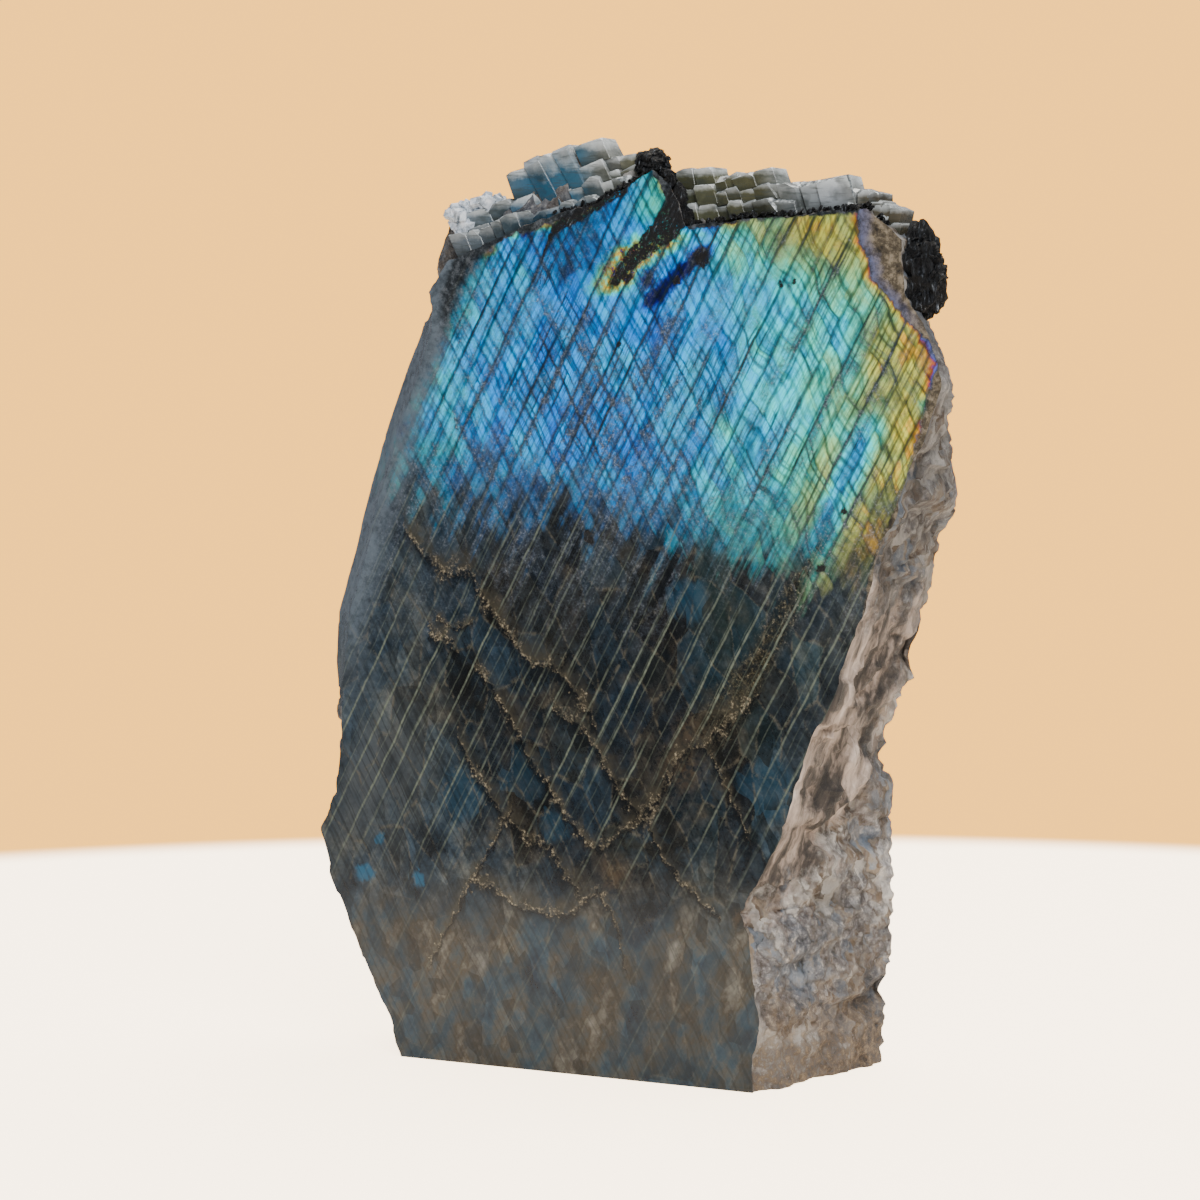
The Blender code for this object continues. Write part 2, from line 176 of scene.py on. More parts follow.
# The steepest step that is left between two points, for the length of its edge, and the passes to ease it.
STEEPEST = 1.1
SLOPE_PASSES = 5

# The two sets of lines in the polished face, as angles from the base line.
LAMELLA_ANGLE = 61.0
CROSS_ANGLE = -60.0
SLAB_ANGLE = 68.0


def linear(code):
    """An sRGB hex code as linear red, green, blue and alpha."""
    channels = [int(code[i:i + 2], 16) / 255 for i in (1, 3, 5)]
    return tuple(c / 12.92 if c <= 0.04045 else ((c + 0.055) / 1.055) ** 2.4 for c in channels) + (1.0,)


class StoneSizes(bpy.types.PropertyGroup):
    cell: FloatProperty(name="Surface cell", description="Size of one cell of the stone's surface",
                        default=1.0 * MM, min=0.6 * MM, max=5 * MM, unit="LENGTH")
    grain: FloatProperty(name="Grain height", description="Height of the finest grain on broken stone",
                         default=0.12 * MM, min=0, max=1 * MM, unit="LENGTH")
    back_slabs: IntProperty(name="Slabs behind the crest", description="How many slabs lie behind the crest",
                            default=40, min=0, max=200)
    floor: FloatProperty(name="Floor radius", description="Radius of the floor",
                         default=0.5, min=0.5, max=20, unit="LENGTH")


class StoneColours(bpy.types.PropertyGroup):
    threads: FloatVectorProperty(name="Threads", description="Pale threads in the dark part of the face",
                                 default=linear("#6C7466"), size=4, min=0, max=1, subtype="COLOR")
    lines: FloatVectorProperty(name="Partings", description="Dark lines in the blue part of the flash",
                               default=linear("#0C1E2C"), size=4, min=0, max=1, subtype="COLOR")
    # Painted sheen: the pale reflection along the polished left rim of the face.
    rim_sheen: FloatVectorProperty(name="Sheen", description="Haze along the left edge of the face",
                              default=linear("#606C78"), size=4, min=0, max=1, subtype="COLOR")
    tabletop: FloatVectorProperty(name="Tabletop", description="Paint of the tabletop",
                                  default=linear("#FBEFE0"), size=4, min=0, max=1, subtype="COLOR")
    backdrop: FloatVectorProperty(name="Backdrop", description="Colour seen behind the stone",
                                  default=linear("#FFB850"), size=4, min=0, max=1, subtype="COLOR")


def add(tree, kind, *values, out=0, named=None, stops=(), **settings):
    """Add a shader node with its settings, inputs and colour or curve stops; return one output. The kind may
    name the node's operation after a dot, and a colour may be given as its hex code."""
    kind, _, operation = kind.partition(".")
    node = tree.nodes.new("ShaderNode" + kind)
    if operation:
        node.operation = operation
    for name, value in settings.items():
        setattr(node, name, value)
    feeds = list(zip(node.inputs, values))
    feeds += [(node.inputs[name], value) for name, value in (named or {}).items()]
    for socket, value in feeds:
        if isinstance(value, bpy.types.NodeSocket):
            tree.links.new(value, socket)
        elif value is not None:
            socket.default_value = linear(value) if isinstance(value, str) else value
    if kind == "ValToRGB":
        for place, _ in stops[1:-1]:
            node.color_ramp.elements.new(place)
        for stop, (place, code) in zip(node.color_ramp.elements, stops):
            stop.position, stop.color = place, linear(code)
    if kind == "FloatCurve":
        curve = node.mapping.curves[0]
        curve.points[0].location, curve.points[-1].location = stops[0], stops[-1]
        for x, y in stops[1:-1]:
            curve.points.new(x, y)
        for point in curve.points:
            point.handle_type = "VECTOR"
        node.mapping.update()
    return node.outputs[out]


def new_material(name):
    """An empty node material, its tree, what adds a node to it, and the place on the piece in millimetres."""
    material = bpy.data.materials.new(name)
    material.use_nodes = True
    tree = material.node_tree
    tree.nodes.clear()
    node = partial(add, tree)
    point = node("VectorMath.SCALE", node("TexCoord", out="Object"), None, None, 1 / MM)
    return material, tree, node, point


def add_surface(material, shader):
    """End the material in its surface."""
    output = material.node_tree.nodes.new("ShaderNodeOutputMaterial")
    material.node_tree.links.new(shader, output.inputs["Surface"])
    return material


def ease(value, low, high):
    """0 below low, 1 above high, and a smooth rise between them."""
    t = min(max((value - low) / (high - low), 0.0), 1.0)
    return t * t * (3.0 - 2.0 * t)


def along(chain, t):
    """The point at fraction t of a chain of points, counted by its points."""
    s = min(max(t, 0.0), 1.0) * (len(chain) - 1)
    i = min(int(s), len(chain) - 2)
    return Vector(chain[i]).lerp(Vector(chain[i + 1]), s - i)


def thickness(z):
    """Thickness of the stone at height z."""
    z = min(max(z, THICKNESS[0][0]), THICKNESS[-1][0])
    for (z0, t0), (z1, t1) in zip(THICKNESS, THICKNESS[1:]):
        if z <= z1:
            return t0 + (t1 - t0) * (z - z0) / (z1 - z0)
    return THICKNESS[-1][1]


def left_edge(share):
    """The left outline, moved right by a share of the polished rim where there is one."""
    rim = [EDGE_WEAR + POLISHED_RIM * ease(z, *RIM_FOOT) * ease(z, *RIM_TOP) for _, z in LEFT]
    return [(x + share * width - LEFT_SWELL * (1 - share), z) for (x, z), width in zip(LEFT, rim)]


def section(left, right, top):
    """The four sides of one cross-section, meeting at the corners of its top."""
    left = list(left[:-1]) + [top[0]]
    right = list(right[:-1]) + [top[-1]]
    return left, right, (left[0], right[0]), top


def make_sections():
    """Cross-sections at the sawn stock, the ledge, the rim and the back."""
    rim_right = [Vector(p).lerp(Vector(q), RIM_SHARE) for p, q in zip(RIGHT_FRONT, RIGHT_BACK)]
    back_left = [(x * BACK_SHRINK, z) for x, z in LEFT]
    back_top = [(x * BACK_SHRINK, z - BACK_DROP) for x, z in TOP_CREST]
    return (section(left_edge(1.0), RIGHT_FRONT, TOP_FRONT),
            section(left_edge(LEDGE_SHARE), RIGHT_FRONT, TOP_FRONT),
            section(left_edge(0.0), rim_right, TOP_CREST),
            section(back_left, RIGHT_BACK, back_top))


def inside(sides, a, b):
    """The point at fractions a across and b up of the area between four sides."""
    left, right, bottom, top = sides
    edges = (along(left, b) * (1 - a) + along(right, b) * a
             + along(bottom, a) * (1 - b) + along(top, a) * b)
    corners = (Vector(bottom[0]) * (1 - a) * (1 - b) + Vector(bottom[-1]) * a * (1 - b)
               + Vector(top[0]) * (1 - a) * b + Vector(top[-1]) * a * b)
    return edges - corners


def stone_point(sections, a, b, c):
    """Where the grid point at fractions a, b and c lies: across, up and from front to back."""
    first, second = 1 / LAYERS, 2 / LAYERS
    back = inside(sections[3], a, b)
    full = thickness(back.y)
    full += BACK_SWELL * (1 - abs(2 * a - 1) ** 3) * (1 - abs(2 * b - 1) ** 3)
    if c <= first:
        t = c / first
        flat = inside(sections[0], a, b).lerp(inside(sections[1], a, b), t)
        depth = -STOCK + (LEDGE + STOCK) * t
    elif c <= second:
        t = (c - first) / (second - first)
        flat = inside(sections[1], a, b).lerp(inside(sections[2], a, b), t)
        depth = LEDGE + (RIM - LEDGE) * t
    else:
        t = (c - second) / (1 - second)
        flat = inside(sections[2], a, b).lerp(back, t ** SIDE_CURVE)
        depth = RIM + (full - RIM) * t
    share = max(depth, 0.0) / full
    lift = TOE_LIFT * share
    toe = ease(flat.y, TOE_TOP[0] + lift, TOE_TOP[1] + lift) * ease(share, *TOE_START)
    flat.x += TOE_SWELL * toe * max(2 * a - 1, 0.0) ** 4
    point = Vector((flat.x, FACE_Y + depth, flat.y))
    for place, direction in BREAKS:
        normal = Vector(direction).normalized()
        point -= normal * max((point - Vector(place)).dot(normal), 0.0)
    return point


def facet_height(point, facets):
    """Height of a broken surface of flat facets that lie along the cleavage."""
    size, step, slope = facets
    p = CLEAVAGE @ point
    p = Vector((p.x, p.y, p.z * FACET_SHAPE)) / size
    site = noise.voronoi(p)[1][0]
    chance = noise.cell_vector(site * SHUFFLE)
    lean = 1 if chance.y > 0.5 else -1
    return step * (chance.x - 0.5) + slope * size * lean * (p - site).x


def ledge_height(point):
    """Height of the cleavage ledges: each rises slowly and ends in a step."""
    p = CLEAVAGE @ point
    s = p.x / LEDGE_PITCH + LEDGE_WANDER * noise.noise(point / LEDGE_BEND)
    return LEDGE_HEIGHT * (s % 1.0 - 0.5)


def roughness(point):
    """How much of the broken relief shows: none on polished stone, most on the back."""
    depth = point.y - FACE_Y
    amount = FRONT_RELIEF + (1 - FRONT_RELIEF) * ease(depth, *RELIEF_DEPTH)
    polished = ease(-point.x, *RIM_INNER) * ease(point.z, *SMOOTH_FOOT) * ease(point.z, *SMOOTH_TOP)
    return amount * (1 - POLISH * polished * ease(depth, *RIM_DEPTH))


def relief(point, grain):
    """How far the broken surface stands out at a point, or 0 on the stock that is sawn off."""
    if point.y < FACE_Y:
        return 0.0
    height = sum(facet_height(point, facets) for facets in FACETS) + ledge_height(point)
    height += grain * noise.fractal(point * 0.7, 0.8, 2.0, 4)
    return roughness(point) * height


def limit_slopes(bm, heights):
    """Ease each step that is too steep for the length of its edge, so that no faces cross."""
    bm.verts.index_update()
    edges = [(e.verts[0].index, e.verts[1].index, STEEPEST * e.calc_length()) for e in bm.edges]
    for _ in range(SLOPE_PASSES):
        for i, j, most in edges:
            excess = (abs(heights[i] - heights[j]) - most) / 2
            if excess > 0:
                side = 1 if heights[i] > heights[j] else -1
                heights[i] -= side * excess
                heights[j] += side * excess


def saw(bm, point, keep):
    """Cut the stone flat through a point, and keep the side that keep points to."""
    geometry = bm.verts[:] + bm.edges[:] + bm.faces[:]
    cut = bmesh.ops.bisect_plane(bm, geom=geometry, plane_co=point, plane_no=keep,
                                 clear_inner=True)
    edges = [item for item in cut["geom_cut"] if isinstance(item, bmesh.types.BMEdge)]
    bmesh.ops.contextual_create(bm, geom=edges)


def add_grid_side(bm, cells_1, cells_2, turn):
    """One side of the unit box, as a grid with its own number of cells each way."""
    bmesh.ops.create_grid(bm, x_segments=cells_1, y_segments=cells_2, size=0.5,
                          matrix=turn @ Matrix.Translation((0, 0, 0.5)))


def make_piece(bm, name, materials, crease=40.0):
    """Turn a mesh worked out in millimetres into a finished piece of the stone."""
    bmesh.ops.scale(bm, verts=bm.verts, vec=(MM, MM, MM))
    bm.normal_update()
    mesh = bpy.data.meshes.new(name)
    bm.to_mesh(mesh)
    bm.free()
    for material in materials:
        mesh.materials.append(material)
    mesh.shade_smooth()
    mesh.set_sharp_from_angle(angle=radians(crease))
    piece = bpy.data.objects.new(name, mesh)
    bpy.context.scene.collection.objects.link(piece)
    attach(piece, "root")
    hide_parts("labradorite_chunk")
    return piece


def shape_stone(bm, sizes):
    """A box of grids, bent to the stone's outlines, broken into facets and sawn flat twice."""
    cell = sizes.cell / MM
    width, height, depth = STONE_CELLS
    cells_x, cells_z = round(width / cell), round(height / cell)
    cells_y = LAYERS * round(depth / cell / LAYERS)
    for side in (0, 180):
        add_grid_side(bm, cells_x, cells_z, Matrix.Rotation(radians(90 + side), 4, "X"))
        add_grid_side(bm, cells_x, cells_y, Matrix.Rotation(radians(side), 4, "X"))
        add_grid_side(bm, cells_z, cells_y, Matrix.Rotation(radians(90 + side), 4, "Y"))
    bmesh.ops.remove_doubles(bm, verts=bm.verts, dist=WELD)
    sections = make_sections()
    for vert in bm.verts:
        a, c, b = (value + 0.5 for value in vert.co)
        vert.co = stone_point(sections, a, b, c)
    bmesh.ops.recalc_face_normals(bm, faces=bm.faces)
    bm.normal_update()
    heights = [relief(vert.co, sizes.grain / MM) for vert in bm.verts]
    limit_slopes(bm, heights)
    moves = [vert.normal * height for vert, height in zip(bm.verts, heights)]
    for vert, move in zip(bm.verts, moves):
        vert.co += move
    saw(bm, Vector((0, FACE_Y, 0)), Vector((0, 1, 0)))
    saw(bm, Vector((0, 0, 0)), Vector((0, 0, 1)))
    bmesh.ops.triangulate(bm, faces=[f for f in bm.faces if len(f.verts) > 4])
    bm.normal_update()


def is_polished(face):
    """Whether a face lies in the sawn face or on its rounded left rim."""
    middle = face.calc_center_median()
    flat = face.normal.y < -0.999 and middle.y < FACE_Y + 0.01
    rim = middle.x < -40 and 72 < middle.z < 152 and middle.y < FACE_Y + 7 and face.normal.y < -0.25
    return flat or rim


def shape_brick(bm, tone_layer, lift_layer, box, tilt, chance, palest=1.0):
    """One cleaved brick of the crest: leaning, with worn edges and a corner or two broken off."""
    left, right, front, back, bottom, top = box
    middle = Vector(((left + right) / 2, (front + back) / 2, (bottom + top) / 2))
    size = (right - left, back - front, top - bottom)
    lean = Matrix.Shear("XY", 3, (-LEAN, 0)).to_4x4()
    turn = Matrix.Translation(middle) @ Matrix.Rotation(radians(-tilt), 4, "Y") @ lean
    brick = bmesh.ops.create_cube(bm, size=1, matrix=turn @ Matrix.Diagonal((*size, 1)))["verts"]
    for vert in brick:
        vert.co += Vector([chance.uniform(-BRICK_SKEW, BRICK_SKEW) for _ in range(3)])
    edges = list({edge for vert in brick for edge in vert.link_edges})
    worn = bmesh.ops.bevel(bm, geom=edges, offset=BRICK_WEAR, offset_type="OFFSET", segments=1,
                           profile=0.5, affect="EDGES", material=-1, clamp_overlap=True)
    # Worn faces that look up take the white edge material, which is partly a painted highlight of light from
    # above; the others keep the brick's own.
    for face in worn["faces"]:
        face.normal_update()
        face.material_index = 1 if face.normal.z > 0.5 else 0
    verts = {vert for face in worn["faces"] for vert in face.verts}
    for _ in range(BRICK_BREAKS):
        away = Vector((chance.uniform(-1, 1), -0.5, chance.uniform(0.2, 1.2))).normalized()
        reach = max((vert.co - middle).dot(away) for vert in verts)
        faces = {face for vert in verts for face in vert.link_faces}
        edges = {edge for face in faces for edge in face.edges}
        cut = bmesh.ops.bisect_plane(bm, geom=list(verts | edges | faces),
                                     plane_co=middle + away * (reach - chance.uniform(0.1, 0.9)),
                                     plane_no=away, clear_outer=True)
        rim = [item for item in cut["geom_cut"] if isinstance(item, bmesh.types.BMEdge)]
        bmesh.ops.contextual_create(bm, geom=rim)
        verts = {item for item in cut["geom"] if isinstance(item, bmesh.types.BMVert) and item.is_valid}
    tone = palest * chance.random()
    for vert in verts:
        vert[tone_layer] = tone
        vert[lift_layer] = (vert.co.z - bottom) / (top - bottom)


def shape_crest(bm, sizes):
    """Cleaved bricks along the crest, and lower ones behind it."""
    for name in ("tone", "lift"):
        bm.verts.layers.float.new(name)
    tone_layer, lift_layer = (bm.verts.layers.float[name] for name in ("tone", "lift"))
    chance = random.Random(7)
    for left, right, bottom, top, tilt, setback, depth, columns, courses in BLOCKS:
        width, height = (right - left) / columns, (top - bottom) / courses
        slope = sin(radians(tilt))
        for i in range(columns):
            for j in range(courses):
                x, z = left - CREST_SHIFT + i * width, bottom + j * height
                rise = (i + 0.5 - columns / 2) * width * slope + chance.uniform(-0.3, 0.3)
                drift = -LEAN * (j + 0.5 - courses / 2) * height + chance.uniform(-0.3, 0.3)
                front = FACE_Y + setback + COURSE_STEP * j + chance.uniform(-0.5, 0.5)
                box = (x + drift - BRICK_GAP, x + drift + width + BRICK_GAP, front, front + depth,
                       z + rise - COURSE_GAP, z + rise + height + COURSE_GAP)
                palest = DARK_COURSE if setback < LOWEST_SETBACK else 1.0
                shape_brick(bm, tone_layer, lift_layer, box, tilt + chance.uniform(-1.5, 1.5), chance, palest)
    for _ in range(sizes.back_slabs):
        a = chance.uniform(0.04, 0.96)
        top = along(TOP_CREST, a)
        back = FACE_Y + chance.uniform(*SLAB_DEPTHS)
        width, height = chance.uniform(*SLAB_WIDTHS), chance.uniform(*SLAB_HEIGHTS)
        z = top.y - SLAB_SINK - SLAB_FALL * (back - FACE_Y - SLAB_DEPTHS[0])
        x = top.x * SLAB_SHRINK
        box = (x - width / 2, x + width / 2, back - 3, back + 3, z - height, z)
        shape_brick(bm, tone_layer, lift_layer, box, chance.uniform(6, 22), chance)


def add_plate(bm, place, turn, size, chance):
    """One ragged plate of mica, with its half sizes along its own axes."""
    plate = bmesh.ops.create_cone(bm, cap_ends=True, segments=9, radius1=1.0, radius2=0.94, depth=2)["verts"]
    for vert in plate:
        ragged = chance.uniform(0.72, 1.05)
        vert.co = place + turn @ Vector((vert.co.x * size[0] * ragged, vert.co.y * size[1] * ragged,
                                         vert.co.z * size[2]))


def shape_mica(bm, middle, radii, plates, chance):
    """One book of mica: thin ragged plates packed into a lump."""
    core_radii = [share * radius for share, radius in zip(MICA_CORE, radii)]
    core = Matrix.Translation(middle) @ Matrix.Diagonal((*core_radii, 1))
    ball = bmesh.ops.create_icosphere(bm, subdivisions=4, radius=1, matrix=core)["verts"]
    for vert in ball:
        away = vert.co - Vector(middle)
        vert.co += MICA_RAGGED * away * noise.fractal(vert.co * MICA_GRAIN, 0.7, 2.0, 4)
    for _ in range(plates):
        away = Vector([chance.gauss(0, 1) for _ in range(3)]).normalized() * chance.uniform(0.60, 0.78)
        place = Vector(middle) + Vector([radius * part for radius, part in zip(radii, away)])
        turn = Matrix.Rotation(radians(chance.gauss(MICA_TILT, 14)), 4, "Y")
        turn = turn @ Matrix.Rotation(radians(chance.gauss(0, 22)), 4, "X")
        turn = turn @ Matrix.Rotation(chance.uniform(0, 6.28), 4, "Z")
        size = (chance.uniform(0.16, 0.30) * radii[0], 0.22 * radii[1], chance.uniform(0.12, 0.3))
        add_plate(bm, place, turn, size, chance)


def shape_seam(bm, chance):
    """Crumbs of mica along the joint between the face and the crest."""
    for low, high, number, reach in ((0.20, 0.52, 130, 0.9), (0.62, 0.98, 110, 0.5)):
        for _ in range(number):
            spot = along(TOP_FRONT, chance.uniform(low, high))
            place = Vector((spot.x - 0.5, FACE_Y + chance.uniform(0.4, 1.4),
                            spot.y + chance.uniform(-0.1, reach)))
            turn = Matrix.Rotation(chance.uniform(0, 6.28), 4, Vector([chance.gauss(0, 1) for _ in range(3)]))
            size = (chance.uniform(0.4, 1.1), chance.uniform(0.3, 0.7), chance.uniform(0.1, 0.3))
            add_plate(bm, place, turn, size, chance)


def shape_sugar(bm, middle, radii, grains, chance):
    """One crust of sugary grains of feldspar."""
    for _ in range(grains):
        away = Vector([chance.gauss(0, 1) for _ in range(3)]).normalized() * chance.uniform(0.3, 0.9)
        place = Vector([m + r * a for m, r, a in zip(middle, radii, away)])
        turn = Matrix.Rotation(chance.uniform(0, 6.28), 4, Vector([chance.gauss(0, 1) for _ in range(3)]))
        size = [chance.uniform(0.9, 2.6) for _ in range(3)]
        grain = bmesh.ops.create_cube(bm, size=1, matrix=Matrix.Translation(place) @ turn
                                      @ Matrix.Diagonal((*size, 1)))["verts"]
        edges = list({edge for vert in grain for edge in vert.link_edges})
        bmesh.ops.bevel(bm, geom=edges, offset=0.15, offset_type="OFFSET", segments=1, profile=0.5,
                        affect="EDGES", material=-1, clamp_overlap=True)


def follow(tree, value, points):
    """The second number of a chain of points, read off at a value of the first; both in millimetres."""
    node = partial(add, tree)
    firsts, seconds = [first for first, _ in points], [second for _, second in points]
    low, high, bottom, top = min(firsts), max(firsts), min(seconds), max(seconds)
    stops = [((x - low) / (high - low), (z - bottom) / (top - bottom)) for x, z in sorted(points)]
    share = node("FloatCurve", 1.0, node("MapRange", value, low, high, 0.0, 1.0), stops=stops)
    return node("MapRange", share, 0.0, 1.0, bottom, top)


def faded(tree, value, *fades):
    """A value times what each fade leaves of it: what the fade goes by, from where to where, and how much is
    left at both ends."""
    for fade in fades:
        value = add(tree, "Math.MULTIPLY", value, add(tree, "MapRange", *fade))
    return value


def near(tree, point, place, radius):
    """1 at a place in the face (x, z), falling smoothly to 0 at a radius, in millimetres."""
    node = partial(add, tree)
    gap = node("VectorMath.DISTANCE", point, (place[0], FACE_Y, place[1]), out="Value")
    return node("MapRange", gap, 0.0, radius, 1.0, 0.0, interpolation_type="SMOOTHSTEP")


def partings(tree, across, along_them, spacing, width, faint, seed=0.0):
    """Lines where the crystal parts: how strong each is, how much light it leaves beside it, where painted
    shade darkens each cell of the flash towards its lines, and a number for each strip between them."""
    node = partial(add, tree)
    share = node("Math.MULTIPLY_ADD", across, 1 / spacing, seed)
    gap = node("TexVoronoi", None, share, 1.0, voronoi_dimensions="1D", feature="DISTANCE_TO_EDGE")
    strip = node("TexVoronoi", None, share, 1.0, voronoi_dimensions="1D", out="W")
    line = node("MapRange", gap, width / spacing, 0.35 * width / spacing, 0.0, 1.0)
    stretched = node("CombineXYZ", share, node("Math.MULTIPLY", along_them, 0.1 / spacing))
    patchy = node("TexNoise", stretched, None, 1.3, 2.0)
    strength = node("MapRange", patchy, 0.36, 0.58, faint, 1.0)
    # Painted shade: the flash dims towards each line, so that its cells look rounded.
    painted_shade = node("MapRange", gap, 0.0, 0.9 / spacing, 0.55, 0.0, interpolation_type="SMOOTHSTEP")
    left = node("Math.SUBTRACT", 1.0, node("Math.MULTIPLY", painted_shade, strength))
    return node("Math.MULTIPLY", line, strength), left, strip


def crack(tree, point, chain):
    """How far a point lies above a crack along a chain of points (x, z), and whether beside its length."""
    node = partial(add, tree)
    spot = node("SeparateXYZ", point)
    x, z = spot, spot.node.outputs["Z"]
    rise = node("Math.SUBTRACT", z, follow(tree, x, chain))
    starts = node("Math.GREATER_THAN", x, chain[0][0])
    ends = node("Math.LESS_THAN", x, chain[-1][0])
    return rise, node("Math.MULTIPLY", starts, ends)


# Where the flash begins: its lower edge, its upper edge and its right edge, as chains of points.
FLASH_FOOT = ((-60, 129), (-55, 127), (-45, 122), (-38, 122), (-25, 121), (-12, 119.5), (0, 117), (10, 116),
              (20, 115.5), (35, 110.5), (45, 110), (60, 113))
FLASH_TOP = ((-60, 126), (-57, 129.5), (-50, 140.5), (-46, 148), (-43, 155), (-39, 161), (-35, 165.3),
             (-30, 168.3), (-24, 169), (-22, 170), (-15, 172), (-10, 174), (-4, 177.5), (-1, 180),
             (2, 180.8), (5, 176), (7, 170), (13, 168.5), (22, 169.8), (31, 170.4), (48, 171), (60, 171))
FLASH_RIGHT = ((90, 48), (104, 51), (112, 54.5), (120, 58), (130, 61.5), (136, 62.5), (142, 65), (146, 63),
               (149.5, 59), (155, 54), (158.5, 50.3), (161, 50.6), (165, 48), (180, 48))

# The hue of the flash across the face, from blue at 0 through green and yellow to violet at 1. The
# colours are deep, because lines and dust pale them.
HUE_ACROSS = ((-62, 0.48), (-52, 0.44), (-42, 0.37), (-30, 0.28), (-15, 0.27), (0, 0.28), (10, 0.34),
              (18, 0.41), (25, 0.45), (32, 0.49), (40, 0.545), (46, 0.60), (51, 0.72), (55, 0.79), (62, 0.83))
HUES = ((0.0, "#141C8C"), (0.10, "#0A48B8"), (0.20, "#0674E0"), (0.30, "#0096F4"), (0.40, "#04B0F0"),
        (0.48, "#18CAE8"), (0.56, "#44D4C4"), (0.64, "#78C490"), (0.73, "#9CB468"), (0.81, "#BCBC4C"),
        (0.87, "#C8962A"), (0.915, "#A04E34"), (0.955, "#4A347E"), (1.0, "#5A66B4"))

# Cracks of pale broken grain in the dark part, each as a chain of points with its width.
CRACKS = ((((-56, 109), (-49, 102.5), (-45, 100), (-40, 101), (-38, 97), (-33, 91), (-27, 84), (-25, 82.5),
            (-21, 83), (-17, 79), (-13, 75), (-10, 70)), 0.9),
          (((-20.5, 74), (-17, 72), (-13, 70), (-10, 66), (-7, 61), (-4, 57), (-2, 55), (0, 53.5), (3, 56),
            (6, 60), (8, 65), (12, 68), (15, 68), (17, 71), (22, 74), (27, 79)), 0.9),
          (((-50, 87.5), (-45, 87), (-43, 84)), 0.8), (((-48, 91), (-44, 89), (-39, 90)), 0.35),
          (((-39, 82), (-36, 79), (-33, 75), (-29, 69), (-25, 62), (-22, 59), (-17, 52), (-13, 48)), 0.7),
          (((-43, 67), (-39, 60), (-34, 54), (-32, 51), (-29, 49), (-26, 47), (-21, 46), (-18, 41),
            (-14, 37)), 0.7),
          (((-40, 38), (-35, 37), (-32, 35), (-28, 33), (-22, 32.5), (-17, 32), (-13, 35), (-10, 38),
            (-7, 34), (-5, 30), (-3.5, 22)), 0.6),
          (((-50, 20), (-39.5, 38), (-30, 53)), 0.5), (((-13, 47), (-9, 46), (0, 53)), 0.5),
          (((2, 51), (6, 44), (10, 40), (14, 37), (18, 34)), 0.5),
          (((15, 68), (18, 62), (22, 55), (25, 49)), 0.6))

# Streaks of grey dust in the flash, each as a chain of points with its width.
DUST_STREAKS = ((((-26, 158), (-18, 150), (-12, 144), (-6, 134)), 2.6),
                (((-14, 134), (-9, 127), (-5, 122)), 2.2),
                (((-44, 131), (-39, 125), (-34, 119)), 2.4), (((-21, 118), (-15, 131), (-9, 142)), 3.0),
                (((-12, 116), (-4, 133), (4, 146), (10, 153)), 3.2), (((-8, 110), (1, 128), (9, 140)), 2.6),
                (((-28, 124), (-22, 135), (-18, 142)), 2.4), (((2, 112), (8, 124), (14, 136)), 2.2))

# Blue glints in the dark part, painted into its colour as small flashes of sheen: place, radius and how
# strongly they shine.
GLINTS = (((-65.5, 37.5), 2.6, 0.9), ((-52.5, 37), 2.4, 0.9), ((-62, 44.5), 1.6, 0.6), ((-38, 25), 4.0, 0.4),
          ((-36, 18.5), 3.4, 0.4), ((-16, 18), 5.0, 0.4), ((7, 27), 3.0, 0.3), ((24, 14), 3.0, 0.5),
          ((28, 60), 7.0, 0.2), ((-43, 55), 7.0, 0.18), ((10, 96), 6.0, 0.3), ((-26, 60), 7.0, 0.15),
          ((-20, 50), 5.0, 0.2))

# A band of earthy stone that rises to the right, and rusty stains with their radii.
EARTHY_BAND = ((-8, 46), (5, 60), (15, 71), (24, 80), (33, 95), (42, 108))
RUST = (((9, 63), 8.0), ((-6, 41), 6.0), ((22, 34), 3.0), ((-59, 20), 5.0), ((11, 70), 6.0))

# Mica in the face: a seam and a streak, each as a chain of points, and spots with their radii; and
# places where the flash deepens to indigo.
MICA_SEAM = ((-23.5, 156), (-22.5, 164), (-20, 169), (-15, 171), (-10, 173.5), (-4, 176.5), (-1, 179.5))
MICA_STREAK = ((156, -7.5), (160, -4.5), (163, -1.5), (167, 4.2), (170, 7.0), (174, 7.6), (178, 9))
INDIGO_STREAK = ((153, 1.5), (156, 4.2), (158, 6.5), (160, 9), (163, 13), (166, 15.5))
MICA_SPOTS = (((13.6, 162.6), 2.2), ((31, 157.5), 0.8), ((34, 158), 0.7), ((40, 103), 1.2), ((45, 114), 0.8),
              ((-12, 108), 1.8), ((-3, 159), 1.2), ((8, 158.5), 1.0), ((-5, 146), 0.8))
INDIGO = (((1, 159), 3.0), ((63, 134), 4.0), ((-27, 168.5), 2.0), ((16, 169), 2.6), ((-57, 129), 2.5),
          ((-4.5, 161), 3.0), ((1, 181), 3.0))


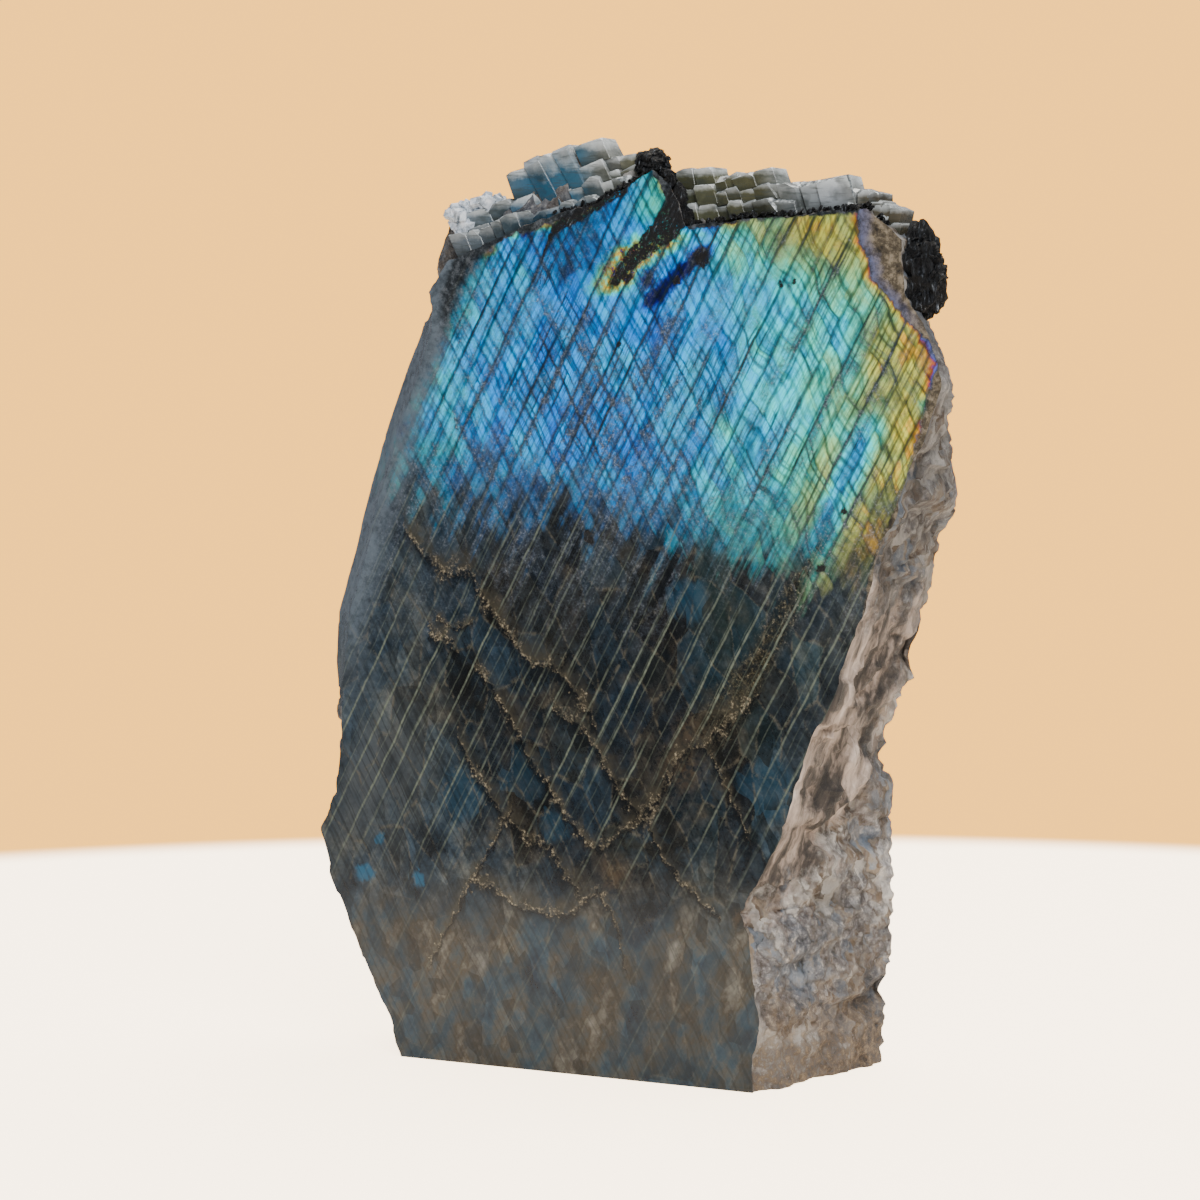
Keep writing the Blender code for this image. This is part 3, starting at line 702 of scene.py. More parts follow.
def polished_material(colours):
    """Labradorite sawn and polished: glassy, dark, and in its upper part a flash of blue to gold, painted
    into the base colour as a sheen.
    """
    material, tree, node, point = new_material("polished_labradorite")
    shake = node("TexNoise", point, None, 0.55, 4.0, 0.6, out="Color")
    shake = node("VectorMath.SUBTRACT", shake, (0.5, 0.5, 0.5))
    sway = node("TexNoise", point, None, 0.10, 1.0, out="Color")
    sway = node("VectorMath.SUBTRACT", sway, (0.5, 0.5, 0.5))
    ragged = node("VectorMath.MULTIPLY_ADD", shake, (2.6, 2.6, 2.6), point)
    slight = node("VectorMath.MULTIPLY_ADD", shake, (0.3, 0.3, 0.3), point)
    slight = node("VectorMath.MULTIPLY_ADD", sway, (0.9, 0.9, 0.9), slight)
    spot = node("SeparateXYZ", ragged)
    x, z = spot, spot.node.outputs["Z"]
    rightness = node("MapRange", x, 4.0, 24.0, 0.0, 1.0, interpolation_type="SMOOTHSTEP")
    grain = node("TexNoise", point, None, 2.2, 4.0, 0.6)
    fog = node("TexNoise", point, None, 0.45, 6.0, 0.75)
    blotch = node("TexNoise", point, None, 0.11, 2.0)

    # Lamellae, and the partings that cross them: straight at the left, curved like scales at the right.
    # Real ones go on far below a millimetre, and the finest here are drawn wider apart, so that they show.
    turn, cross_turn = radians(LAMELLA_ANGLE), radians(-CROSS_ANGLE)
    across = node("VectorMath.DOT_PRODUCT", slight, (sin(turn), 0, -cos(turn)), out="Value")
    along_them = node("VectorMath.DOT_PRODUCT", slight, (cos(turn), 0, sin(turn)), out="Value")
    bend = node("MapRange", rightness, 0.0, 1.0, 1.5, 7.0)
    bend = node("VectorMath.SCALE", sway, None, None, bend)
    wavy = node("VectorMath.MULTIPLY_ADD", shake, (0.5, 0.5, 0.5), point)
    wavy = node("VectorMath.ADD", bend, wavy)
    crossing = node("VectorMath.DOT_PRODUCT", wavy, (sin(cross_turn), 0, cos(cross_turn)), out="Value")
    along_cross = node("VectorMath.DOT_PRODUCT", wavy, (cos(cross_turn), 0, -sin(cross_turn)), out="Value")
    main_lines, main_light, strip = partings(tree, across, along_them, 4.4, 0.46, 0.5)
    fine_lines, fine_light, fine_strip = partings(tree, across, along_them, 1.8, 0.30, 0.2, 31.0)
    hair_lines, _, _ = partings(tree, across, along_them, 0.75, 0.18, 0.0, 11.0)
    strip_chance = node("TexWhiteNoise", None, strip, noise_dimensions="1D")
    fine_chance = node("TexWhiteNoise", None, fine_strip, noise_dimensions="1D")
    shift = node("Math.MULTIPLY_ADD", strip_chance, node("Math.MULTIPLY", rightness, 3.0), crossing)
    broad_cross, _, _ = partings(tree, crossing, along_cross, 9.5, 0.46, 0.5, 3.0)
    cross_lines, cross_light, cell = partings(tree, shift, along_cross, 3.4, 0.38, 0.4, 7.0)
    small_lines, small_light, small_cell = partings(tree, crossing, along_cross, 1.5, 0.22, 0.05, 53.0)
    cell_chance = node("TexWhiteNoise", node("CombineXYZ", strip, cell), noise_dimensions="2D")
    small_chance = node("TexWhiteNoise", node("CombineXYZ", fine_strip, small_cell), noise_dimensions="2D")
    hair_place = node("CombineXYZ", node("Math.MULTIPLY", across, 2.2),
                      node("Math.MULTIPLY", along_them, 0.05))
    hair = node("TexNoise", hair_place, None, 1.0, 3.0, 0.6)
    streak_place = node("CombineXYZ", node("Math.MULTIPLY", across, 0.30),
                        node("Math.MULTIPLY", along_them, 0.03))
    streak = node("TexNoise", streak_place, None, 1.0, 4.0, 0.65)
    back_place = node("CombineXYZ", node("Math.MULTIPLY", crossing, 0.30),
                      node("Math.MULTIPLY", along_cross, 0.035), 9.0)
    back_streak = node("TexNoise", back_place, None, 1.0, 4.0, 0.65)

    # Where the flash shows.
    foot = node("Math.SUBTRACT", z, follow(tree, x, FLASH_FOOT))
    foot = node("Math.MULTIPLY_ADD", node("Math.SUBTRACT", streak, 0.5), 42.0, foot)
    foot = node("Math.MULTIPLY_ADD", node("Math.SUBTRACT", cell_chance, 0.5), 5.0, foot)
    lit = node("MapRange", foot, -14.0, 11.0, 0.0, 1.0, interpolation_type="SMOOTHSTEP")
    from_top = node("Math.SUBTRACT", follow(tree, x, FLASH_TOP), z)
    leftmost = node("MapRange", x, -34.0, -40.0, 0.0, 1.0)
    under = node("MapRange", from_top, node("Math.MULTIPLY", leftmost, -3.0),
                 node("MapRange", leftmost, 0.0, 1.0, 0.7, 7.0), 0.0, 1.0)
    from_right = node("Math.SUBTRACT", follow(tree, z, FLASH_RIGHT), x)
    inside_right = node("MapRange", from_right, -0.2, 0.6, 0.0, 1.0)
    lit = node("Math.MULTIPLY", node("Math.MULTIPLY", lit, under), inside_right)

    # Mica in the face.
    seam = node("Math.SUBTRACT", z, follow(tree, x, MICA_SEAM))
    seam_width = node("MapRange", z, 160.0, 172.0, 0.7, 1.7)
    seam = node("Math.DIVIDE", node("Math.ABSOLUTE", seam), seam_width)
    seam = node("MapRange", seam, 1.0, 0.6, 0.0, 1.0)
    seam_span = node("Math.MULTIPLY", node("Math.GREATER_THAN", x, -23.4), node("Math.LESS_THAN", x, -1.0))
    seam = node("Math.MULTIPLY", seam, seam_span)
    off_streak = node("Math.SUBTRACT", x, follow(tree, z, MICA_STREAK))
    off_streak = node("Math.ABSOLUTE", off_streak)
    streak_width = node("MapRange", z, 157.0, 167.0, 1.1, 4.4)
    streak_width = faded(tree, streak_width, (z, 170.5, 174.0, 1.0, 0.42))
    reach = node("Math.SUBTRACT", off_streak, streak_width)
    streak_span = node("MapRange", z, 155.0, 158.0, 0.0, 1.0)
    mica_streak = node("Math.MULTIPLY", node("MapRange", reach, 0.2, -0.6, 0.0, 1.0), streak_span)
    mica = node("Math.MAXIMUM", seam, mica_streak)
    for middle, radius in MICA_SPOTS:
        spot_near = near(tree, ragged, middle, 1.6 * radius)
        mica = node("Math.MAXIMUM", mica, node("MapRange", spot_near, 0.25, 0.6, 0.0, 1.0))
    off_indigo = node("Math.SUBTRACT", x, follow(tree, z, INDIGO_STREAK))
    indigo = node("MapRange", node("Math.ABSOLUTE", off_indigo), 3.2, 1.0, 0.0, 1.0)
    indigo_span = node("Math.MULTIPLY", node("MapRange", z, 152.0, 155.0, 0.0, 1.0),
                       node("MapRange", z, 166.0, 164.0, 0.0, 1.0))
    indigo = node("Math.MULTIPLY", indigo, indigo_span)
    for middle, radius in INDIGO:
        indigo = node("Math.MAXIMUM", indigo, near(tree, ragged, middle, radius))
    fibres = node("CombineXYZ", node("Math.MULTIPLY", across, 1.6), node("Math.MULTIPLY", along_them, 0.35))
    fibre = node("TexNoise", fibres, None, 1.0, 5.0, 0.75)
    mica = faded(tree, mica, (grain, 0.30, 0.45, 0.45, 1.0))

    # The hue of the flash, which changes along the face, from strip to strip and at its rims.
    leaning = node("Math.MULTIPLY_ADD", node("Math.SUBTRACT", z, 135.0), -0.286, x)
    hue = follow(tree, leaning, HUE_ACROSS)
    high = node("MapRange", z, 150.0, 170.0, 0.0, 1.0, interpolation_type="SMOOTHSTEP")
    rightwards = node("MapRange", x, 2.0, 32.0, 0.0, 0.30, interpolation_type="SMOOTHSTEP")
    hue = node("Math.MULTIPLY_ADD", high, rightwards, hue)
    tongue = node("Math.MULTIPLY", node("MapRange", z, 164.0, 172.0, 0.0, 1.0),
                  node("MapRange", x, -6.0, 4.0, -0.04, 0.33))
    tongue = faded(tree, tongue, (x, 6.0, 10.0, 1.0, 0.0))
    hue = node("Math.ADD", hue, tongue)
    strip_line = node("Math.MULTIPLY_ADD", node("Math.SUBTRACT", z, 108.0), -0.48, x)
    off_strip = node("Math.ABSOLUTE", node("Math.SUBTRACT", strip_line, 40.0))
    blue_strip = node("MapRange", off_strip, 1.0, 5.5, -0.26, 0.0, interpolation_type="SMOOTHSTEP")
    strip_span = node("Math.MULTIPLY", node("MapRange", z, 126.0, 138.0, 1.0, 0.0),
                      node("MapRange", z, 104.0, 112.0, 0.3, 1.0))
    hue = node("Math.MULTIPLY_ADD", blue_strip, strip_span, hue)
    for chance, amount in ((blotch, 0.32), (fog, 0.16), (cell_chance, 0.10), (small_chance, 0.06),
                           (strip_chance, 0.05)):
        hue = node("Math.MULTIPLY_ADD", node("Math.SUBTRACT", chance, 0.5), amount, hue)
    hue = node("Math.MINIMUM", hue, 0.86)
    hue = node("Math.MAXIMUM", hue, 0.16)
    rim_right = node("MapRange", from_right, 0.0, 2.2, 0.17, 0.0)
    rim_right = faded(tree, rim_right, (z, 120.0, 140.0, 0.0, 1.0))
    hue = node("Math.ADD", hue, rim_right)
    rim_top = node("MapRange", from_top, 0.0, 1.8, 0.66, 0.0)
    rim_chance = node("MapRange", blotch, 0.44, 0.58, 0.0, 1.0)
    rim_left = node("Math.MULTIPLY", node("MapRange", x, 24.0, 16.0, 0.0, 1.0),
                    node("MapRange", x, -38.0, -34.0, 0.0, 1.0))
    rim_top = node("Math.MULTIPLY", node("Math.MULTIPLY", rim_top, rim_chance), rim_left)
    rim_streak = node("Math.MULTIPLY", node("MapRange", reach, 0.3, 5.0, 0.70, 0.0), streak_span)
    rim_streak = faded(tree, rim_streak, (z, 169.0, 164.0, 0.0, 1.0), (fog, 0.40, 0.56, 0.45, 1.05))
    hue = node("Math.ADD", hue, node("Math.MAXIMUM", rim_top, rim_streak))
    hue = node("Math.MULTIPLY_ADD", indigo, -0.42, hue)
    flash = node("ValToRGB", hue, stops=HUES)

    # The light in the flash, a painted sheen in the base colour: cells, streaks and fine lines.
    painted_sheen = node("MapRange", cell_chance, 0.0, 1.0, 0.85, 1.45)
    for light in (main_light, fine_light, cross_light, small_light):
        light = node("Math.POWER", light, node("MapRange", rightness, 0.0, 1.0, 1.0, 0.75))
        painted_sheen = node("Math.MULTIPLY", painted_sheen, light)
    painted_sheen = faded(tree, painted_sheen, (small_chance, 0.0, 1.0, 0.88, 1.12), (fine_chance, 0.0, 1.0, 0.82, 1.15),
                 (hair, 0.3, 0.7, 0.62, 1.4), (fog, 0.36, 0.62, 0.80, 1.35))
    patchy = node("TexNoise", point, None, 0.19, 3.0, 0.6)
    painted_sheen = faded(tree, painted_sheen, (patchy, 0.38, 0.60, 0.78, 1.45))
    painted_sheen = node("Math.MINIMUM", node("Math.MULTIPLY", painted_sheen, 1.28), 1.5)
    dusk = node("Math.MULTIPLY", near(tree, ragged, (-16, 167), 16.0),
                node("MapRange", patchy, 0.42, 0.58, 1.0, 0.6))
    painted_sheen = faded(tree, painted_sheen, (dusk, 0.0, 0.7, 1.0, 0.3))
    vivid = node("MapRange", near(tree, ragged, (-13.5, 157.0), 6.5), 0.2, 0.5, 0.0, 1.0)
    painted_sheen = node("Math.MAXIMUM", painted_sheen, node("Math.MULTIPLY", vivid, main_light))
    painted_sheen = faded(tree, painted_sheen, (near(tree, ragged, (3, 173), 10.0), 0.0, 0.7, 1.0, 0.6))
    olive = near(tree, ragged, (38, 166), 20.0)
    painted_sheen = faded(tree, painted_sheen, (olive, 0.0, 1.0, 1.0, 0.68), (indigo, 0.0, 1.0, 1.0, 0.25))
    # The flash colour times its painted sheen, which real labradorite shows only where lamp and eye meet its
    # lamellae at the right angles.
    flash = node("VectorMath.SCALE", flash, None, None, painted_sheen)

    # The dark part: near black, with angular plates inside it that shine a little, and paler ends.
    inner = node("CombineXYZ", node("Math.MULTIPLY", across, 0.7), crossing)
    breaks = node("TexVoronoi", inner, None, 0.13, 0.0, voronoi_dimensions="2D", out="Color")
    breaks = node("SeparateXYZ", breaks)
    other = breaks.node.outputs["Y"]
    edges = node("TexVoronoi", inner, None, 0.13, 0.0, voronoi_dimensions="2D", feature="DISTANCE_TO_EDGE")
    small_breaks = node("TexVoronoi", inner, None, 0.34, 0.0, voronoi_dimensions="2D", out="Color")
    small_breaks = node("SeparateXYZ", small_breaks)
    dark = node("ValToRGB", breaks, stops=((0.0, "#040606"), (0.22, "#0B1116"), (0.4, "#14130E"),
                                           (0.6, "#0F1A24"), (0.8, "#1D1F1B"), (1.0, "#272B2C")))
    mottle = node("TexNoise", point, None, 0.22, 5.0, 0.64)
    veil_place = node("CombineXYZ", node("Math.MULTIPLY", across, 0.10),
                      node("Math.MULTIPLY", crossing, 0.05), 4.0)
    veil = node("TexNoise", veil_place, None, 1.0, 4.0, 0.6)
    earthy = node("TexNoise", ragged, None, 0.055, 3.0, 0.6)
    stain = node("MixRGB", node("MapRange", earthy, 0.44, 0.56, 0.0, 1.0), "#1C2B37", "#35312A")
    dark = node("MixRGB", node("MapRange", mottle, 0.42, 0.64, 0.0, 0.75), dark, stain)
    clear = near(tree, point, (-8, 76), 66.0)
    paler = node("MapRange", clear, 0.12, 0.55, 0.72, 0.0, interpolation_type="SMOOTHSTEP")
    pale = node("ValToRGB", node("Math.MULTIPLY_ADD", mottle, 0.4, node("Math.MULTIPLY", veil, 0.6)),
                stops=((0.36, "#10171D"), (0.46, "#232E38"), (0.55, "#383F42"), (0.68, "#565751")))
    dark = node("MixRGB", paler, dark, pale)
    tone = node("MapRange", other, 0.0, 1.0, 0.55, 1.5)
    tone = faded(tree, tone, (small_breaks, 0.0, 1.0, 0.62, 1.45), (fog, 0.36, 0.64, 0.65, 1.5),
                 (clear, 0.35, 0.85, 1.0, 0.78))
    dark = node("VectorMath.SCALE", dark, None, None, tone)
    bloom = node("Math.MULTIPLY", near(tree, ragged, (-66, 58), 26.0),
                 node("MapRange", veil, 0.38, 0.56, 0.3, 0.9))
    dark = node("MixRGB", bloom, dark, "#43484C")
    teal = node("MapRange", other, 0.35, 1.0, 0.0, 0.55)
    teal = faded(tree, teal, (foot, -42.0, -4.0, 0.15, 1.0))
    teal_hue = node("MixRGB", rightness, "#15364A", "#1B433F")
    dark = node("MixRGB", teal, dark, teal_hue)
    # Painted glints: small blue flashes of sheen in the dark part.
    for middle, radius, share in GLINTS:
        shine = node("Math.MULTIPLY_ADD", small_breaks, 0.5, near(tree, ragged, middle, 1.5 * radius))
        shine = node("MapRange", shine, 0.62, 0.95, 0.0, share)
        dark = node("MixRGB", shine, dark, "#1F5674")
    band = node("Math.SUBTRACT", z, follow(tree, x, EARTHY_BAND))
    band = node("MapRange", node("Math.ABSOLUTE", band), 8.0, 3.0, 0.0, 0.9)
    band = faded(tree, band, (fog, 0.42, 0.54, 0.25, 1.0), (x, 12.0, 20.0, 0.0, 1.0))
    band_hue = node("ValToRGB", grain, stops=((0.40, "#16150E"), (0.52, "#2E2C1F"), (0.62, "#4E4836"),
                                              (0.70, "#8A806A")))
    dark = node("MixRGB", band, dark, band_hue)
    for middle, radius in RUST:
        rust = node("Math.MULTIPLY", near(tree, ragged, middle, radius),
                    node("MapRange", fog, 0.42, 0.54, 0.1, 0.9))
        dark = node("MixRGB", rust, dark, "#43382A")
    foot_zone = node("MapRange", z, 40.0, 26.0, 0.0, 0.8, interpolation_type="SMOOTHSTEP")
    foot_cloud = node("ValToRGB", node("Math.MULTIPLY_ADD", mottle, 0.35, node("Math.MULTIPLY", veil, 0.65)),
                      stops=((0.38, "#0A2030"), (0.45, "#20343F"), (0.51, "#363937"), (0.56, "#372F22"),
                             (0.66, "#6A675E")))
    broken_light = node("MapRange", small_breaks, 0.0, 1.0, 0.62, 1.4)
    broken_light = faded(tree, broken_light, (breaks, 0.0, 1.0, 0.7, 1.35))
    foot_cloud = node("VectorMath.SCALE", foot_cloud, None, None, broken_light)
    dark = node("MixRGB", foot_zone, dark, foot_cloud)
    seams = node("MapRange", edges, 0.05, 0.008, 0.0, 0.55)
    seams = faded(tree, seams, (z, 34.0, 42.0, 0.4, 1.0), (fog, 0.46, 0.58, 0.0, 1.0))
    dark = node("MixRGB", seams, dark, "#5C5749")
    colour = node("MixRGB", lit, dark, flash)

    # Parting lines: dark in the flash, pale threads in the dark part.
    slashes = node("Math.MAXIMUM", node("Math.MULTIPLY", fine_lines, 0.85),
                   node("Math.MULTIPLY", hair_lines, 0.60))
    slashes = node("Math.MAXIMUM", slashes, main_lines)
    small_lines = faded(tree, small_lines, (rightness, 0.0, 1.0, 0.8, 0.35))
    backs = node("Math.MAXIMUM", node("Math.MULTIPLY", cross_lines, 0.85), small_lines)
    backs = node("Math.MAXIMUM", backs, node("Math.MULTIPLY", broad_cross, 0.8))
    busy = node("MapRange", node("TexNoise", point, None, 0.07, 3.0, 0.6), 0.42, 0.58, 0.40, 1.1)
    both = node("Math.MULTIPLY", node("Math.MAXIMUM", slashes, backs), busy)
    both = node("Math.MAXIMUM", both, node("Math.MULTIPLY", main_lines, 0.95))
    both = faded(tree, both, (rightness, 0.0, 1.0, 0.90, 0.85))
    both = node("Math.MULTIPLY", both, lit)
    line_hue = node("MixRGB", rightness, colours.lines, "#1D2A26")
    colour = node("MixRGB", both, colour, line_hue)
    unlit = node("MapRange", lit, 0.0, 0.5, 1.0, 0.0)
    long_threads, _, _ = partings(tree, across, along_them, 5.2, 0.30, 0.0, 71.0)
    short_threads, _, _ = partings(tree, across, along_them, 2.3, 0.20, 0.0, 5.0)
    threads = node("Math.MAXIMUM", node("Math.MULTIPLY", short_threads, 0.35), long_threads)
    threads = faded(tree, threads, (fog, 0.36, 0.56, 0.35, 0.95))
    threads = node("Math.MULTIPLY", threads, unlit)
    threads = faded(tree, threads, (z, 36.0, 60.0, 0.2, 1.0))
    colour = node("MixRGB", threads, colour, colours.threads)
    dull = node("Math.MULTIPLY", node("Math.MULTIPLY", backs, 0.45), unlit)
    colour = node("MixRGB", dull, colour, "#080A0A")

    # Grey dust in the crystal, in streaks that follow both sets of partings.
    torn = node("VectorMath.MULTIPLY_ADD", shake, (3.6, 3.6, 3.6), point)
    dust = node("MapRange", streak, 0.46, 0.60, 0.0, 0.85)
    dust = node("Math.MAXIMUM", dust, node("MapRange", back_streak, 0.54, 0.66, 0.0, 0.8))
    dust = node("Math.MAXIMUM", dust, node("MapRange", fine_chance, 0.70, 0.90, 0.0, 0.6))
    for chain, width in DUST_STREAKS:
        rise, beside = crack(tree, torn, chain)
        dusty = node("MapRange", node("Math.ABSOLUTE", rise), 1.3 * width, 0.4 * width, 0.0, beside)
        dust = node("Math.MAXIMUM", dust, dusty)
    at_foot = node("Math.MULTIPLY", node("MapRange", lit, 0.0, 0.5, 0.1, 0.75),
                   node("MapRange", lit, 1.0, 0.6, 0.0, 1.0))
    dust = node("Math.MAXIMUM", dust, at_foot)
    dust = node("Math.MAXIMUM", dust, node("Math.MULTIPLY", dusk, 0.7))
    dust = faded(tree, dust, (fog, 0.38, 0.58, 0.2, 0.95), (z, 82.0, 112.0, 0.1, 1.0),
                 (z, 170.0, 150.0, 0.5, 1.0))
    dust_hue = node("ValToRGB", grain, stops=((0.40, "#323A44"), (0.54, "#4A525E"), (0.64, "#666E7A"),
                                              (0.74, "#9CA2AA")))
    colour = node("MixRGB", dust, colour, dust_hue)

    uneven = node("MapRange", node("TexNoise", point, None, 0.30, 3.0, 0.7), 0.38, 0.62, 0.45, 3.0)
    crumbled = crack_shadow = fringe = 0.0
    for chain, width in CRACKS:
        rise, beside = crack(tree, torn, chain)
        gap = node("Math.MULTIPLY", node("Math.ABSOLUTE", rise), uneven)
        broken = node("MapRange", gap, 2.6 * width, 0.4 * width, 0.0, beside, interpolation_type="SMOOTHSTEP")
        crumbled = node("Math.MAXIMUM", broken, crumbled)
        # Painted shadow just below each crack.
        below = node("Math.MULTIPLY", node("MapRange", rise, -4.5 * width, -1.2 * width, 0.0, beside),
                     node("MapRange", rise, 0.0, -0.8 * width, 0.0, 1.0))
        crack_shadow = node("Math.MAXIMUM", below, crack_shadow)
        above = node("Math.MULTIPLY", node("MapRange", rise, 7.0 * width, 0.5 * width, 0.0, beside),
                     node("MapRange", rise, -1.0, 0.2, 0.0, 1.0))
        fringe = node("Math.MAXIMUM", above, fringe)
    fringe = faded(tree, fringe, (mottle, 0.40, 0.58, 0.1, 0.85))
    colour = node("MixRGB", fringe, colour, "#39362D")
    # Darken the stone below the cracks with their painted shadow.
    colour = node("MixRGB", node("Math.MULTIPLY", crack_shadow, 0.75), colour, "#05070A")
    crumbs = node("MapRange", grain, 0.40, 0.60, 0.25, 0.9)
    crumbs = faded(tree, crumbs, (fog, 0.45, 0.56, 0.0, 1.0))
    crumb_hue = node("ValToRGB", grain, stops=((0.42, "#3E392E"), (0.56, "#6E6655"), (0.66, "#A0967F")))
    colour = node("MixRGB", node("Math.MULTIPLY", crumbled, crumbs), colour, crumb_hue)

    # Outside the flash: grey stone at the left and top, brown and lavender at the right.
    left_margin = node("MapRange", from_top, node("MapRange", leftmost, 0.0, 1.0, 0.4, 4.0),
                       node("Math.MULTIPLY", leftmost, -3.0), 0.0, 1.0)
    left_margin = faded(tree, left_margin, (z, 128.0, 142.0, 0.0, 0.9))
    grey = node("ValToRGB", fog, stops=((0.36, "#0C0E11"), (0.5, "#272B2F"), (0.62, "#52575D")))
    colour = node("MixRGB", left_margin, colour, grey)
    # Painted sheen along the rounded, polished left rim of the face, standing in for its pale reflection.
    off_left = node("Math.SUBTRACT", x, follow(tree, z, [(height, side) for side, height in LEFT]))
    rim_sheen_reach = node("MapRange", z, 144.0, 156.0, 12.0, 4.0)
    painted_rim_sheen = node("MapRange", off_left, rim_sheen_reach, node("Math.MULTIPLY", rim_sheen_reach, 0.4), 0.0, 0.8,
                interpolation_type="SMOOTHSTEP")
    painted_rim_sheen = faded(tree, painted_rim_sheen, (z, 70.0, 95.0, 0.0, 1.0), (fog, 0.36, 0.6, 0.45, 1.0))
    colour = node("MixRGB", painted_rim_sheen, colour, colours.rim_sheen)
    right_margin = node("MapRange", from_right, 0.2, -0.4, 0.0, 1.0)
    brown = node("ValToRGB", fog, stops=((0.36, "#221E19"), (0.48, "#4E4638"), (0.6, "#857A68")))
    lavender = node("MapRange", from_right, -0.3, -3.2, 1.0, 0.0)
    lavender = faded(tree, lavender, (z, 148.0, 153.0, 0.0, 0.9), (fog, 0.40, 0.56, 0.3, 1.0))
    beside = node("MixRGB", lavender, brown, "#515C86")
    colour = node("MixRGB", right_margin, colour, beside)
    black = node("ValToRGB", fibre, stops=((0.40, "#040507"), (0.57, "#0F1115"), (0.65, "#4E545C"),
                                           (0.74, "#9AA0A6")))
    colour = node("MixRGB", mica, colour, black)

    rough = node("MapRange", grain, 0.3, 0.7, 0.10, 0.20)
    pits = node("Math.MAXIMUM", mica, right_margin)
    rough = node("Math.ADD", rough, node("Math.MULTIPLY", pits, 0.3))
    bump = node("Bump", pits, 0.0002, named={"Height": grain})
    shader = node("BsdfPrincipled", named={"Base Color": colour, "Roughness": rough, "IOR": 1.56,
                                           "Specular IOR Level": 0.35, "Normal": bump})
    return add_surface(material, shader)


def crest_material():
    """Cleaved labradorite: glassy flat breaks, blue-grey at the left and olive to pale at the right."""
    material, _, node, point = new_material("cleaved_labradorite")
    x = node("SeparateXYZ", point)
    tone = node("Attribute", attribute_name="tone", out="Fac")
    share = node("MapRange", x, -50.0, 60.0, 0.0, 1.0)
    share = node("Math.MULTIPLY_ADD", node("Math.SUBTRACT", tone, 0.5), 0.03, share)
    body = node("ValToRGB", share, stops=((0.03, "#7A848E"), (0.13, "#4E5C64"), (0.22, "#25506A"),
                                          (0.31, "#2E566C"), (0.36, "#5C5F5C"), (0.44, "#54533F"),
                                          (0.55, "#4C4E3A"), (0.68, "#4A4934"), (0.74, "#7E8486"),
                                          (0.84, "#959BA0"), (0.90, "#544E40")))
    lift = node("Attribute", attribute_name="lift", out="Fac")
    cloud = node("TexNoise", point, None, 0.35, 5.0, 0.6)
    frosted = node("MapRange", node("Math.MULTIPLY_ADD", cloud, 0.6, lift), 0.88, 1.28, 0.0, 0.8)
    body = node("MixRGB", frosted, body, "#C4CACB")
    deep = node("TexNoise", point, None, 0.22, 3.0)
    shadow = node("Math.MULTIPLY", node("MapRange", deep, 0.46, 0.64, 0.0, 0.75),
                  node("MapRange", lift, 1.0, 0.1, 0.4, 1.0))
    shadow = node("Math.MAXIMUM", shadow, node("MapRange", lift, 0.4, 0.05, 0.0, 0.7))
    body = node("MixRGB", shadow, body, "#22261F")
    light = node("MapRange", tone, 0.0, 1.0, 0.6, 1.4)
    body = node("VectorMath.SCALE", body, None, None, light)
    # Painted light from above: faces that look up are paler.
    upright = node("SeparateXYZ", node("TexCoord", out="Normal"), out="Z")
    painted_top_light = node("MapRange", upright, 0.35, 0.85, 0.0, 0.65)
    body = node("MixRGB", painted_top_light, body, "#AEB4B6")
    leaf = node("Mapping", point, None, (0.0, radians(8), 0.0), (0.3, 0.3, 2.0))
    leaf = node("TexNoise", leaf, None, 1.0, 3.0)
    body = node("MixRGB", node("MapRange", leaf, 0.52, 0.66, 0.0, 0.5), body, "#3C423E")
    grain = node("TexNoise", point, None, 1.6, 4.0, 0.6)
    bump = node("Bump", 0.35, 0.0003, named={"Height": grain})
    shader = node("BsdfPrincipled", named={"Base Color": body, "Roughness": 0.16, "IOR": 1.56,
                                           "Normal": bump})
    return add_surface(material, shader)


def edge_material():
    """Worn cleavage edges that face up: frosted white where the crystal is crushed, and partly a painted
    highlight of light from above.
    """
    material, _, node, point = new_material("frosted_edge_painted_highlight")
    speck = node("TexNoise", point, None, 1.2, 3.0)
    colour = node("ValToRGB", speck, stops=((0.38, "#4E5458"), (0.50, "#8E9494"), (0.66, "#DDE2E2")))
    shader = node("BsdfPrincipled", named={"Base Color": colour, "Roughness": 0.55})
    return add_surface(material, shader)


def mica_material():
    """Black biotite: near black, with silvery glints painted into its colour in streaks along its grain,
    standing in for light caught on its plates.
    """
    material, _, node, point = new_material("black_biotite")
    stretched = node("Mapping", point, None, (0.0, radians(14), 0.0), (2.2, 1.0, 0.45))
    fibre = node("TexNoise", stretched, None, 1.0, 4.0, 0.7)
    # Painted glints: the pale streaks stand in for light caught on the plates.
    colour = node("ValToRGB", fibre, stops=((0.42, "#040507"), (0.57, "#0C0E11"), (0.65, "#4A5058"),
                                            (0.74, "#B8BEC4")))
    rough = node("MapRange", fibre, 0.4, 0.7, 0.30, 0.5)
    bump = node("Bump", 0.9, 0.0012, named={"Height": fibre})
    shader = node("BsdfPrincipled", named={"Base Color": colour, "Roughness": rough, "IOR": 1.5,
                                           "Specular IOR Level": 0.3, "Normal": bump})
    return add_surface(material, shader)


def sugar_material():
    """Sugary feldspar: white to pale blue-grey grains with bright frosted faces."""
    material, _, node, point = new_material("sugary_feldspar")
    speck = node("TexNoise", point, None, 0.6, 4.0, 0.65)
    colour = node("ValToRGB", speck, stops=((0.32, "#6C7378"), (0.45, "#A9B4BF"), (0.6, "#D8DEE6"),
                                            (0.75, "#F0F2F5")))
    shader = node("BsdfPrincipled", named={"Base Color": colour, "Roughness": 0.4})
    return add_surface(material, shader)


